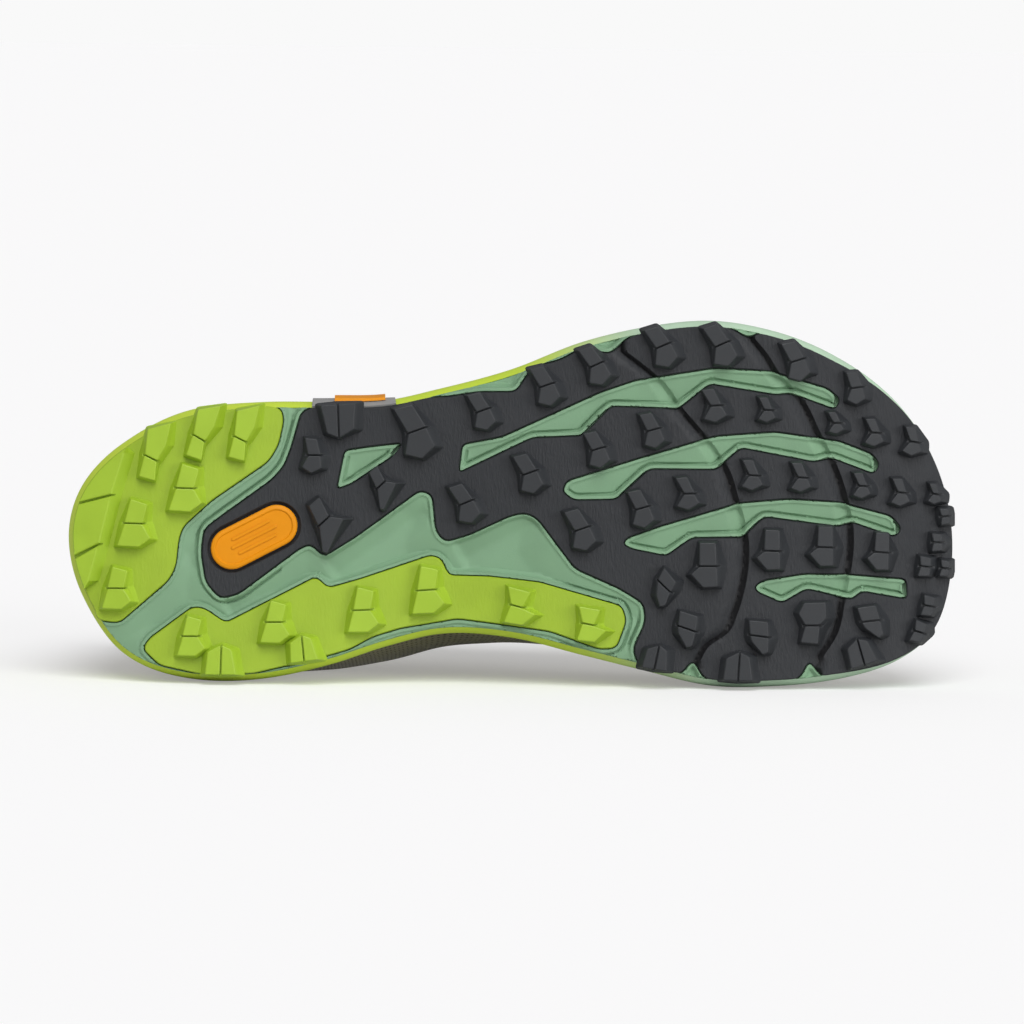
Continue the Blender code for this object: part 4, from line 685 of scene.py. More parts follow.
# Near-black, darker than the charcoal: painted shade for the floor of the pill's pocket.
pocket_shade = rubber("pocket_painted_shade", (0.008, 0.008, 0.009), 0.7, lines=0.0)
knit = cloth("taupe_knit", (0.255, 0.230, 0.155), 1.3, overlay=(0.190, 0.175, 0.125), Sheen_Weight=0.25)
lining = cloth("lining_cloth", (0.060, 0.060, 0.055), 0.9, Sheen_Weight=0.2)
tongue_cloth = cloth("tongue_knit", (0.120, 0.113, 0.088), 1.1, Sheen_Weight=0.25)
braid = cloth("lace_braid", (0.075, 0.078, 0.070), 0.8, Sheen_Weight=0.3)
thread = rubber("seam_thread", (0.17, 0.16, 0.125), 0.8, lines=0.0)

# %% [markdown]
# The rubber plates are moulded sheets about two millimetres thick with soft edges. Extruding the
# outline and bevelling it would do, but the forefoot also dips along two flex grooves, so the face
# is a triangulated plan whose height is a function, and its edge is two more rings.

# %% Outlines of the plates


def forefoot_loop():
    points = list(FOREFOOT_BORDER)
    start_x, side = 68.0, "medial"
    for before, x, y, after in MEDIAL_NOTCHES:
        points += rim(start_x, before, "medial", "medial") + [(x, y)]
        start_x = after
    for before, x, y, after in LATERAL_NOTCHES:
        points += rim(start_x, before, side, "lateral") + [(x, y)]
        start_x, side = after, "lateral"
    points += rim(start_x, 64.5, "lateral", "lateral") + list(LATERAL_BORDER)
    points += rim(40.5, 28.7, "lateral", "lateral")
    return points


EDGE_PITCH = 0.8 * MM
CORNER = 2.4 * MM


def loop_of(points, radius=CORNER):
    return counterclockwise(resampled(rounded(place(points), radius), EDGE_PITCH))


forefoot_edge = loop_of(forefoot_loop())
heel_edge = loop_of(list(HEEL_BORDER) + rim(21.4, 2.6, "lateral", "medial")[::-1])
strip_edge = loop_of(MEDIAL_STRIP, 2.0 * MM)
window_edges = [loop_of(window, 1.8 * MM) for window in WINDOWS]


def stadium(length, width, steps=12):
    """Bar with round ends at the inlay's place."""
    half, radius = (length - width) / 2, width / 2
    angle = np.radians(np.concatenate([np.linspace(-90, 90, steps), np.linspace(90, 270, steps)]))
    x = radius * np.cos(angle) + np.where(np.arange(2 * steps) < steps, half, -half)
    return np.stack([x, radius * np.sin(angle)], axis=1) @ turned(INLAY_TURN) + place(INLAY_CENTRE)


pocket_line = stadium(INLAY_LENGTH + 2.0 * MM, INLAY_WIDTH + 2.0 * MM)
pocket_edge = counterclockwise(resampled(pocket_line, EDGE_PITCH))
FLEX_DEPTH = 2.0 * MM
FLEX_SLOPE = 4.2 * MM
FLEX_WALL = 1.8 * MM
FLEX_BENDS = (-FLEX_SLOPE, -FLEX_SLOPE / 2, -1.1 * MM, -0.2 * MM, FLEX_WALL * 0.85, FLEX_WALL)


def flex_side(points):
    """Signed distance from the nearer flex groove along the shoe, positive towards the toe."""
    best = np.full(len(points), 1.0)
    for groove in FLEX_GROOVES:
        line = place(groove)
        line = line[np.argsort(line[:, 1])]
        offset = points[:, 0] - through(line[:, 1], line[:, 0], points[:, 1])
        best = np.where(np.abs(offset) < np.abs(best), offset, best)
    return best


def flex_depth(points, depth=FLEX_DEPTH):
    """A slope that goes down towards the groove and a steep wall on its toe side."""
    side = flex_side(points)
    down = np.where(side < 0, 1 + side / FLEX_SLOPE, (FLEX_WALL - side) / (FLEX_WALL * 0.7))
    return depth * np.clip(down, 0, 1)


def flex_points(pitch=0.6 * MM):
    """Points along both grooves at the bends of their profile."""
    result = []
    for groove in FLEX_GROOVES:
        line = place(groove)
        line = line[np.argsort(line[:, 1])]
        y = np.arange(line[0, 1], line[-1, 1], pitch)
        x = through(line[:, 1], line[:, 0], y)
        result += [np.stack([x + shift, y], axis=1) for shift in FLEX_BENDS]
    return np.concatenate(result)


EDGE_ROLL = 0.35 * MM


def plate(name, edge, holes, material, relief=None, extra=None, pitch=2.2 * MM):
    """A plate: rolled front edge, straight wall and back, over a triangulated plan."""
    loops = [edge] + [hole[::-1] for hole in holes]
    inner = [loop - normals_of(loop) * EDGE_ROLL for loop in loops]
    points = lattice(edge, pitch)
    if extra is not None:
        points = np.concatenate([points, extra])
    room = np.min([distance(points, loop) for loop in inner], axis=0)
    hit = inside(points, inner[0])
    for hole in inner[1:]:
        hit &= ~inside(points, hole)
    points = points[hit & (room > 0.45 * MM)]

    def keep(middles):
        result = inside(middles, inner[0])
        for hole in inner[1:]:
            result &= ~inside(middles, hole)
        return result

    flat, triangles = spread(inner[:1], inner[1:], points, keep)
    dip = relief(flat) if relief else np.zeros(len(flat))
    count = len(flat)
    vertices = [np.column_stack([flat, plate_face(*flat.T) + dip]),
                np.column_stack([flat, plate_face(*flat.T) + PLATE_THICKNESS])]
    faces = [tuple(t) for t in triangles] + [tuple(t[::-1] + count) for t in triangles]
    base, first = 2 * count, 0
    for loop in loops:
        size = len(loop)
        lower = plate_face(*loop.T) + EDGE_ROLL + (relief(loop) if relief else 0)
        vertices += [np.column_stack([loop, lower]),
                     np.column_stack([loop, plate_face(*loop.T) + PLATE_THICKNESS - 0.1 * MM])]
        rows = [first + np.arange(size), base + np.arange(size), base + size + np.arange(size),
                count + first + np.arange(size)]
        for low, high in zip(rows, rows[1:]):
            faces += list(np.stack([low, np.roll(low, -1), np.roll(high, -1), high], axis=1))
        base, first = base + 2 * size, first + size
    vertices = np.concatenate(vertices)
    # The "groove" attribute covers the bottom and the toe-side wall of each flex groove, where the charcoal
    # is painted near-black as shade.
    side = flex_side(vertices) if relief else np.full(len(vertices), 1.0)
    groove = smoothstep(-1.1 * MM, -0.2 * MM, side) * smoothstep(FLEX_WALL * 1.05, FLEX_WALL * 0.85, side)
    return piece(name, vertices, faces, material, crease=50, values={"groove": groove})


forefoot = plate("forefoot_plate", forefoot_edge, window_edges + [pocket_edge], charcoal,
                 relief=flex_depth, extra=flex_points())
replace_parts(forefoot, "outsole_forefoot")
heel = plate("heel_plate", heel_edge, [], lime)
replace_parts(heel, "outsole_heel")
strip = plate("medial_plate", strip_edge, [], lime)
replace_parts(strip, "outsole_medial")

# %% [markdown]
# A lug is one block cut by a shallow sipe into two parts, with a steep heel side and a ramp to the
# toe. Cutting each with a boolean would leave sharp slivers, so a body reaches up to the sipe's
# floor and two rounded tops stand on it. No foot spreads over a window or the foam.

# %% Lugs
sole_edge = outline(np.arange(0, 360, 3.0), BOTTOM_INSET + 1.0 * MM)[0]
SIPE_DEPTH = 1.7 * MM
SIPE_HALF = 0.22 * MM
TOP_ROLL = 0.3 * MM
HEEL_DRAFT = 2.2 * MM
TOE_RAMP = 3.6 * MM
BRAKE_RAMP = 3.6 * MM
END_DRAFT = 0.9 * MM
FOOT_TRIES = 5
FOOT_PROBE = 1.1
FOOT_SHRINK = 0.6


def lug_foot(points, middle):
    """How far the foot of a lug stands out: little at the heel side and the ends, a ramp to the toe."""
    away = unit(points - middle)
    along = TOE_RAMP * np.clip(away[:, 0], 0, 1) - HEEL_DRAFT * np.clip(-away[:, 0], 0, 1)
    reach = np.stack([along, END_DRAFT * away[:, 1]], axis=1)
    reach[:, 0] = np.minimum(reach[:, 0], SOLE_LENGTH - points[:, 0])
    for _ in range(FOOT_TRIES):
        reach[over_foam(points + reach * FOOT_PROBE)] *= FOOT_SHRINK
    return reach


def over_foam(points):
    """True in the windows and between the plates, where no foot of a lug may stand."""
    bare = inside(points, sole_edge)
    for edge in (forefoot_edge, heel_edge, strip_edge):
        bare &= ~inside(points, edge[::4])
    for window in window_edges:
        bare |= inside(points, window[::4])
    return bare


def stack(loop, foot, levels):
    """Rings of a block. A level is share of the way to the foot, inset and extra height."""
    loop = counterclockwise(loop)
    out, reach = normals_of(loop), foot(loop)
    rings = []
    for share, inset, lift in levels:
        ring = loop + reach * share - out * inset
        height = rise(*ring.T) + LUG_HEIGHT * share + lift
        rings.append(np.column_stack([ring, height]))
    return np.concatenate(rings), capped(len(rings), len(loop))


def lug(parts, foot):
    """Body and tops of one lug."""
    split = SIPE_DEPTH / LUG_HEIGHT
    first, second = (np.asarray(part, float) for part in parts)
    whole = np.concatenate([first[:1], second[2:], second[:1], first[2:]])
    body = stack(rounded(whole, 0.5 * MM, 3), foot,
                 ((1.0, -0.25 * MM, 0.25 * MM), (1.0, 0.0, -0.05 * MM), (0.93, 0.0, 0.0), (split, 0.0, 0.0)))
    made = [body]
    for part in (first, second):
        along = part[1] - part[0]
        across = np.array((-along[1], along[0])) / np.linalg.norm(along)
        across *= np.sign(np.dot(part.mean(axis=0) - part[0], across))
        moved = part.copy()
        moved[:2] += across * SIPE_HALF
        roll = TOP_ROLL / LUG_HEIGHT
        made.append(stack(rounded(moved, 0.5 * MM, 3), foot,
                          ((split + 0.02, 0.0, 0.0), (roll, 0.0, 0.0), (roll * 0.3, 0.1 * MM, 0.0),
                           (0.0, TOP_ROLL, 0.0))))
    return made


def lugs(name, rows, material, more=()):
    """All lugs of one plate as one piece."""
    made = list(more)
    for form, x, y, turn, size in rows:
        parts = [np.array(part) * MM * size @ turned(turn) + place((x, y)) for part in LUG_FORMS[form]]
        middle = np.concatenate([part[2:] for part in parts] + [parts[0][:2]]).mean(axis=0)
        made += lug(parts, lambda points, centre=middle: lug_foot(points, centre))
    points, faces = together(made)
    return piece(name, points, faces, material, facing=(0, 0, -1), crease=15)


def brake_parts():
    """Braking blocks at the back of the heel, up to a nearly straight edge, with two cuts between."""
    split = SIPE_DEPTH / LUG_HEIGHT
    edge_x, edge_y = np.array(BRAKE_EDGE).T

    def block(start, end, first, last, steps):
        outer, _ = outline(np.linspace(start, end, steps), BOTTOM_INSET + 0.3 * MM)
        along = np.linspace(last, first, steps)
        inner = place(np.column_stack([np.interp(along, edge_y, edge_x), along]))
        return np.concatenate([outer, inner]), np.arange(2 * steps) >= steps

    def block_stack(row, steps, levels):
        loop, is_inner = block(*row, steps)
        if area(loop) < 0:
            loop, is_inner = loop[::-1], is_inner[::-1]
        reach = np.column_stack([BRAKE_RAMP * is_inner, np.zeros(len(loop))])
        return stack(loop, lambda points: reach, levels)

    whole = (BRAKE_BLOCKS[0][0], BRAKE_BLOCKS[-1][1], BRAKE_BLOCKS[0][2], BRAKE_BLOCKS[-1][3])
    made = [block_stack(whole, 24, ((1.0, 0, 0), (split, 0, 0)))]
    for row in BRAKE_BLOCKS:
        made.append(block_stack(row, 12, ((split + 0.02, 0, 0), (0.08, 0, 0), (0.0, TOP_ROLL, 0))))
    return made


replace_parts(lugs("forefoot_lugs", FOREFOOT_LUGS, charcoal_top), "outsole_forefoot")
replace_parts(lugs("heel_lugs", HEEL_LUGS, lime_top, brake_parts()), "outsole_heel")
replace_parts(lugs("medial_lugs", MEDIAL_LUGS, lime_top), "outsole_medial")

# %% [markdown]
# The foam shows through the windows and between the plates: a light rim along every edge, then a
# fold whose upper side is gentle and whose lower side is steep. Sculpting would give it by eye. A
# height worked out from the distance to each edge gives the same folds everywhere.

# %% Foam between the plates
RIM_DEPTH = 0.2 * MM
RIM_WIDTH = 1.3 * MM
RIM_STEP = 0.35 * MM
STEP_WIDTH = 0.5 * MM
VALLEY = 2.2 * MM
GAP_WIDTH = 0.42 * MM
END_GAP = 1.1 * MM
GENTLE = 0.20
STEEP = 1.3
NOTCH_DEPTH = 0.9 * MM
NOTCH_HALF = 0.65 * MM
LOBE_END = 0.24
STRIP_END = 0.57

borders = [forefoot_edge, heel_edge, strip_edge] + window_edges
segment_start = np.concatenate(borders)
segment_end = np.concatenate([np.roll(loop, -1, axis=0) for loop in borders])
to_foam = np.concatenate([normals_of(loop) for loop in borders[:3]]
                         + [-normals_of(loop) for loop in borders[3:]])
owner = np.concatenate([np.full(len(loop), i) for i, loop in enumerate(borders)])
lower = smoothstep(0.35, -0.35, to_foam[:, 1])
side_slope = GENTLE + (STEEP - GENTLE) * lower
share_x = segment_start[:, 0] / SOLE_LENGTH
notch = np.where(owner >= 3, smoothstep(0.5, 0.0, to_foam[:, 1]), lower)
notch = np.where((owner == 0) & (share_x < LOBE_END), 1.0, notch)
notch = np.where(owner == 2, 0.2 + 0.8 * smoothstep(STRIP_END - 0.02, STRIP_END, share_x), notch)
notch = np.where(owner == 1, 0.0, notch)
end_gap = np.where(owner >= 3, END_GAP * smoothstep(0.6, 0.95, -to_foam[:, 0]), 0.0)


def under_plate(points):
    result = inside(points, forefoot_edge) | inside(points, heel_edge) | inside(points, strip_edge)
    for window in window_edges:
        result &= ~inside(points, window)
    return result


full_edge = outline(np.arange(0, 360, 1.0))[0]
EDGE_START = 3.2 * MM
EDGE_RADIUS = 1.0 * MM


def foam_depth(points):
    """Depth of the foam below the plates' face: gap, rim, a notch along lower edges and the folds."""
    near, fold, notched, gap = np.zeros((4, len(points)))
    for part, away in nearest(points, segment_start, segment_end, 1500):
        closest = away.argmin(axis=1)
        near[part] = away.min(axis=1)
        notched[part], gap[part] = notch[closest], GAP_WIDTH + end_gap[closest]
        fold[part] = (np.maximum(away - RIM_WIDTH, 0) * side_slope).min(axis=1)
    start_at = RIM_WIDTH + gap - GAP_WIDTH
    groove = np.clip(1 - np.abs(near - start_at - NOTCH_HALF) / NOTCH_HALF, 0, 1)
    step = RIM_STEP * smoothstep(start_at, start_at + STEP_WIDTH, near)
    depth = RIM_DEPTH + np.minimum(fold, VALLEY) + step + NOTCH_DEPTH * notched * smoothstep(0, 1, groove)
    for (start_point, end_point, deep, shallow, below, above) in CREASES:
        a, b = place(start_point), place(end_point)
        way = b - a
        share = (points - a) @ way / (way @ way)
        side = (points - a) @ np.array((-way[1], way[0])) / np.linalg.norm(way)
        inner = np.clip(1 - np.where(side > 0, side / (below * MM), -side / (above * MM)), 0, 1)
        inner *= smoothstep(-0.08, 0.0, share) * smoothstep(1.15, 0.9, share)
        depth += inner * (deep + (shallow - deep) * np.clip(share, 0, 1)) * MM
    soft = smoothstep(0.2 * MM, RIM_WIDTH, near - gap)
    depth = RIM_DEPTH + (depth - RIM_DEPTH) * soft + flex_depth(points, 1.5 * MM) * soft
    covered = under_plate(points)
    bottom = PLATE_THICKNESS + GAP
    step = smoothstep(gap, gap - 0.3 * MM, near)
    depth = np.where(covered, bottom, depth * (1 - step) + bottom * step)
    inset = distance(points, full_edge)
    bend = np.clip(EDGE_START - inset, 0, EDGE_RADIUS) / EDGE_RADIUS
    roll = EDGE_RADIUS * (1 - np.sqrt(np.clip(1 - bend ** 2, 0, 1)))
    roll += np.clip(EDGE_START - EDGE_RADIUS - inset, 0, None) * 18
    return np.maximum(depth, np.minimum(roll, bottom + 0.6 * MM)), covered, near


# Distances in mm from the plates' edges and from the outline where the surface bends
FOLD_LINES = (-0.5, 0.1, 0.42, 0.62, 1.3, 1.6, 1.95, 2.25, 2.6, 3.0)
EDGE_LINES = (2.25, 2.4, 2.7, 3.1)


def foam_relief():
    region = outline(np.arange(0, 360, 0.5), BOTTOM_INSET - 0.12 * MM)[0]
    edge_lines = [outline(np.arange(0, 360, 0.4), inset * MM)[0] for inset in EDGE_LINES]
    lines = []
    for shift in FOLD_LINES:
        for loop, sign in zip(borders, [1, 1, 1] + [-1] * len(window_edges)):
            moved = loop + normals_of(loop) * shift * sign * MM
            reach = distance(moved, loop)
            lines.append(moved[reach > (abs(shift) - 0.06) * MM])
    points = np.concatenate(lines + edge_lines + [lattice(region, 1.3 * MM), flex_points()])
    _, covered, near = foam_depth(points)
    points = points[inside(points, region) & ~(covered & (near > 1.6 * MM))]
    points = points[np.unique(np.round(points / (0.12 * MM)).astype(int), axis=0, return_index=True)[1]]

    def keep(middles):
        away = np.min([distance(middles, loop) for loop in borders], axis=0)
        return inside(middles, region) & ~(under_plate(middles) & (away > 0.7 * MM))

    flat, triangles = spread([region], [], points, keep)
    return np.column_stack([flat, plate_face(*flat.T) + foam_depth(flat)[0]]), triangles


relief_points, relief_faces = foam_relief()
relief = piece("foam_relief", relief_points, relief_faces, foam, facing=(0, 0, -1), crease=40)
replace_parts(relief, "midsole")

# %% [markdown]
# The side of the foam is a wall with one step and a lip on top that holds the upper. It could be
# extruded and bevelled, but its inset and height change round the foot, so it is a loft of rings.

# %% Midsole wall


def side_rings(columns=360):
    turns = np.arange(columns) * 360 / columns
    table = np.array(SIDE_PROFILE)
    levels = np.concatenate([np.linspace(0, 0.56, 17), [0.575, 0.60, 0.66, 0.8, 0.93, 0.985]])
    flat, _ = outline(turns, BOTTOM_INSET + 1.2 * MM)
    rings, marks = [np.column_stack([flat, foam_face(*flat.T) + 3.5 * MM])], [np.zeros(columns)]
    for share in levels:
        inset = BOTTOM_INSET * through(table[:, 1], table[:, 0], min(share, 0.56))
        inset += smoothstep(0.56, 0.60, share) * 0.9 * MM + smoothstep(0.93, 1.0, share) * 0.5 * MM
        inset += 0.9 * MM * smoothstep(0.60, 0.985, share)
        flat, _ = outline(turns, inset)
        rings.append(np.column_stack([flat, foam_face(*flat.T) * (1 - share) + side_top(*flat.T) * share]))
        marks.append(np.full(columns, share))
    for inset, height in ((LIP_INSET + 0.6 * MM, 0.0), (LIP_INSET + LIP_WIDTH - 0.9 * MM, 0.0),
                          (LIP_INSET + LIP_WIDTH - 0.2 * MM, 0.7 * MM), (LIP_INSET + LIP_WIDTH, 3.0 * MM)):
        flat, _ = outline(turns, inset)
        rings.append(np.column_stack([flat, side_top(*flat.T) - height]))
        marks.append(np.ones(columns))
    flat, _ = outline(turns, LIP_INSET + LIP_WIDTH)
    rings.append(np.column_stack([flat, footbed(*flat.T)]))
    marks.append(np.ones(columns))
    return turns, np.array(rings), np.array(marks)


turns, rings, marks = side_rings()
lateral = turns[None] > 180
x_share = rings[..., 0] / SOLE_LENGTH
lime_mask = smoothstep(0.66, 0.50, x_share)
lime_mask = np.where(lateral, lime_mask, smoothstep(0.74, 0.55, x_share)) * np.ones_like(marks)
rows, columns = marks.shape
midsole = piece("midsole_wall", rings, capped(rows, columns), wall, crease=40, values={"lime": lime_mask})
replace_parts(midsole, "midsole")

# %% [markdown]
# Rubber climbs the lateral side as a low band, and an orange bar is set in it. Both could be flat
# strips bent by a modifier, but a profile swept along the wall keeps an even distance from it. The
# pill in the forefoot plate's heel lobe is a stack of round-ended rings in an open pocket.

# %% Side wrap and inlays


def side_inset(height):
    span = SIDE_HEIGHT - LUG_HEIGHT - PLATE_THICKNESS - GAP
    table = np.array(SIDE_PROFILE)
    return through(table[:, 1] * span, table[:, 0] * BOTTOM_INSET, height)


def band(profile, x_from, x_to, columns, end_share=1.0):
    """A closed bar along the lateral wall. The profile gives insets and heights above the foam's face
    for a share of its full height, which falls to the end share at the toe end."""
    turns = np.linspace(turn_of(x_to, "lateral"), turn_of(x_from, "lateral"), columns)
    shares = np.interp(np.linspace(0, 1, columns), (0, WRAP_SLOPE), (end_share, 1))
    rings = []
    for turn, share in zip(turns, shares):
        ring = []
        for inset, height in profile(share):
            flat, _ = outline(np.array([turn]), inset)
            ring.append((*flat[0], float(foam_face(*flat[0])) + height))
        rings.append(ring)
    return np.array(rings), capped(columns, len(rings[0]))


WRAP_THICKNESS = 0.8 * MM
WRAP_CLEARANCE = 0.4 * MM
WRAP_HEIGHT = 11.0 * MM
WRAP_END_SHARE = 0.32
WRAP_SLOPE = 0.5


def wrap_profile(share):
    heights = np.array((0.5, 3.5, 6.5, 9.0, 10.6)) * MM * share
    face = [(side_inset(h) - WRAP_CLEARANCE - WRAP_THICKNESS, h) for h in heights]
    top = WRAP_HEIGHT * share
    back = [(side_inset(h) - WRAP_CLEARANCE, h) for h in heights[::-1]]
    edge = [(side_inset(top) - WRAP_CLEARANCE - WRAP_THICKNESS / 2, top)]
    start, end = (BOTTOM_INSET - 0.6 * MM, -2.0 * MM), (BOTTOM_INSET + 1.0 * MM, -1.0 * MM)
    return [start] + face + edge + back + [end]


def bar_profile(_):
    heights, out = np.array((1.4, 2.0, 5.5, 8.6, 9.2)) * MM, np.array((1.6, 2.3, 2.4, 2.2, 1.6)) * MM
    face = [(side_inset(h) - o, h) for h, o in zip(heights, out)]
    return face + [(side_inset(h) - 1.3 * MM, h) for h in heights[3:0:-1]]


wrap = piece("side_wrap", *band(wrap_profile, 27.7, 37.0, 40, WRAP_END_SHARE), wrap_rubber)
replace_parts(wrap, "outsole_forefoot")
bar = piece("side_bar", *band(bar_profile, 30.2, 35.9, 24), orange)
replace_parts(bar, "side_inlay")


def inlay():
    """Orange pill with a raised border and three plain ridges."""
    steps = ((0.0, 2.2), (0.0, 0.3), (0.35, -0.1), (1.2, -0.35), (1.45, -0.35), (1.9, 0.1))
    rings = []
    for inset, height in steps:
        loop = stadium(INLAY_LENGTH - 2 * inset * MM, INLAY_WIDTH - 2 * inset * MM, 16)
        rings.append(np.column_stack([loop, plate_face(*loop.T) + height * MM]))
    made = [(np.concatenate(rings), capped(len(rings), len(rings[0])))]
    along, across = turned(INLAY_TURN)
    for shift in (-2.6, 0.0, 2.6):
        half = 8.6 if shift == 0 else 7.2
        ends = np.array(((-half, -0.45), (half, -0.45), (half, 0.45), (-half, 0.45))) * MM
        loop = ends[:, :1] * along + (ends[:, 1:] + shift * MM) * across + place(INLAY_CENTRE)
        loop = rounded(loop, 0.42 * MM, 4)
        levels = [(loop, 0.3), (loop, -0.15), (loop.mean(axis=0) + (loop - loop.mean(axis=0)) * (0.97), -0.3)]
        ridge = [np.column_stack([flat, plate_face(*flat.T) + height * MM]) for flat, height in levels]
        made.append((np.concatenate(ridge), capped(len(ridge), len(loop))))
    return together(made)


pill = piece("sole_pill", *inlay(), orange, facing=(0, 0, -1), crease=30)
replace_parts(pill, "sole_inlay")
# The pocket's floor is a near-black sheet: painted shade in the gap round the pill.
floor_loop = stadium(INLAY_LENGTH + 2.4 * MM, INLAY_WIDTH + 2.4 * MM, 14)
floor_points = np.column_stack([floor_loop, plate_face(*floor_loop.T) + 1.7 * MM])
pocket = piece("pill_pocket", floor_points, [tuple(range(len(floor_loop)))], pocket_shade, facing=(0, 0, -1))
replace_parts(pocket, "outsole_forefoot")

# %% [markdown]
# The upper is one thin wall of knitted mesh. A subdivided cage shaped by hand could look close, but
# the same meridians as the CAD's keep it seated in the foam's lip. Overlays are welded film, so
# they stand a little proud with a short ramp at their edge.

# %% Upper


def wall_point(turns, levels):
    """The upper's form: each meridian stands straight inside the lip, then is a cubic Bezier curve."""
    turns, levels = np.broadcast_arrays(np.asarray(turns, float), np.asarray(levels, float))
    table = np.array(UPPER_MERIDIANS, float)
    table = np.concatenate([[table[-2] - (360, *[0] * 7)], table, [table[1] + (360, *[0] * 7)]])
    edge_x, edge_y, edge_z, lower_rise, bulge, reach, drop = (
        through(table[:, 0], table[:, i], np.mod(turns, 360)) for i in range(1, 8))
    flat, outward = outline(turns, UPPER_INSET)
    floor = footbed(flat[..., 0], flat[..., 1]) + GAP
    above = side_top(flat[..., 0], flat[..., 1]) + LIP_CLEARANCE
    base = np.concatenate([flat, above[..., None]], axis=-1)
    edge = np.stack([edge_x * SOLE_LENGTH, edge_y * BALL_WIDTH, edge_z * COLLAR_HEIGHT], axis=-1) / 100
    out = np.concatenate([outward, np.zeros_like(above)[..., None]], axis=-1)
    up = np.array((0, 0, 1.0))
    rise_by, fall_by = (v[..., None] * COLLAR_HEIGHT / 100 for v in (lower_rise, drop))
    bulge_by, reach_by = (v[..., None] * BALL_WIDTH / 100 for v in (bulge, reach))
    lower = base + up * rise_by + out * bulge_by
    upper = edge + out * reach_by - up * fall_by
    t = np.clip((levels - STRAIGHT_SHARE) / (1 - STRAIGHT_SHARE), 0, None)[..., None]
    point = (1 - t) ** 3 * base + 3 * (1 - t) ** 2 * t * lower + 3 * (1 - t) * t * t * upper + t ** 3 * edge
    point[..., 2] -= (above - floor) * np.clip(1 - levels / STRAIGHT_SHARE, 0, 1)
    return point


def wall_normal(turns, levels):
    levels = np.clip(levels, 0.01, 0.99)
    return unit(np.cross(wall_point(turns, levels + 0.01) - wall_point(turns, levels - 0.01),
                         wall_point(turns + 1.0, levels) - wall_point(turns - 1.0, levels)))


def overlay_share(turns, levels):
    """1 on an overlay and 0 off it, with a short ramp and round corners."""
    result = np.zeros(np.broadcast(turns, levels).shape)
    angle = np.mod(turns + 60, 360) - 60
    for start_turn, end_turn, low, high in OVERLAYS:
        across = np.minimum(angle - start_turn, end_turn - angle) / 0.7
        up = np.minimum(levels - low, high - levels) / 0.012
        corner = np.minimum(across, up)
        result = np.maximum(result, smoothstep(0, 1, corner))
    return result


UPPER_COLUMNS = 480
OVERLAY_LIFT = 0.8 * MM


def make_upper():
    """Outer wall, rolled opening edge and inner wall, one closed surface."""
    turns = np.arange(UPPER_COLUMNS) * 360 / UPPER_COLUMNS
    levels = np.unique(np.concatenate([np.linspace(0, 1, 70), [0.09, 0.102, 0.293, 0.305, 0.543, 0.555,
                                                              0.885, 0.897]]))
    around, level = np.meshgrid(turns, levels)
    middle, normal = wall_point(around, level), wall_normal(around, level)
    mark = overlay_share(around, level)
    outer = middle + normal * (mark * OVERLAY_LIFT)[..., None]
    inner = middle - normal * UPPER_WALL
    outer[0, :, 2] = inner[0, :, 2] = middle[0, :, 2]
    out, along = normal[-1], unit(outer[-1] - outer[-3])
    bead = []
    for angle in np.radians((30, 60, 90, 120, 150)):
        centre_line = (outer[-1] + inner[-1]) / 2
        half = np.linalg.norm(outer[-1] - inner[-1], axis=-1, keepdims=True) / 2
        bead.append(centre_line + out * half * np.cos(angle) + along * half * np.sin(angle))
    rings = np.concatenate([outer, np.array(bead), inner[::-1]])
    marks = np.concatenate([mark, np.ones((5, len(turns))), np.zeros_like(mark)])
    step = np.linalg.norm(np.roll(outer[len(levels) // 2], -1, axis=0) - outer[len(levels) // 2], axis=-1)
    u = np.broadcast_to(np.concatenate([[0], np.cumsum(step)[:-1]]), rings.shape[:2])
    climb = np.linalg.norm(np.diff(rings[:, ::8], axis=0), axis=-1).mean(axis=1)
    v = np.broadcast_to(np.concatenate([[0], np.cumsum(climb)])[:, None], rings.shape[:2])
    count = len(outer) + len(bead)
    size = len(turns)
    faces = grid_faces(len(rings), size, close_rows=True)
    outside = faces[:(count - 1) * size]
    inside_faces = faces[(count - 1) * size:]
    return rings, marks, np.stack([u, v], axis=-1), outside, inside_faces


upper_points, upper_marks, upper_uv, outer_faces, inner_faces = make_upper()
upper = piece("upper_shell", upper_points, list(outer_faces) + list(inner_faces), knit, uv=upper_uv,
              values={"overlay": upper_marks})
upper.data.materials.append(lining)
slots = np.zeros(len(upper.data.polygons), np.int32)
slots[len(outer_faces):] = 1
upper.data.polygons.foreach_set("material_index", slots)
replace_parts(upper, "upper")


def instep(along, across, lift):
    """A point over the throat: along 0 at its front, 1 at the collar; across -1 and 1 at its edges."""
    along, across, lift = np.broadcast_arrays(*(np.asarray(v, float) for v in (along, across, lift)))
    turn = THROAT_FRONT + (THROAT_BACK - THROAT_FRONT) * along
    level = 1 - np.clip(np.abs(across) - 1, 0, None) * WALL_SHARE
    share = np.clip((across + 1) / 2, 0, 1)[..., None]
    point = wall_point(turn, level) * (1 - share) + wall_point(360 - turn, level) * share
    normal = unit(wall_normal(turn, level) * (1 - share) + wall_normal(360 - turn, level) * share)
    crown = INSTEP_CROWN * np.clip(1 - across ** 2, 0, 1) * np.clip(along * 4, 0, 1)
    return point + normal * (lift + crown)[..., None]


# %% [markdown]
# The tongue is padded, so its middle is thicker than its edges and its free end is round. Cloth
# simulation would swell it, but it lies pressed under the lace, so a crowned section is closer.

# %% Tongue and insole
TONGUE_SIDE = 1.9
TONGUE_CLEARANCE = 1.2 * MM
TONGUE_END = 26 * MM


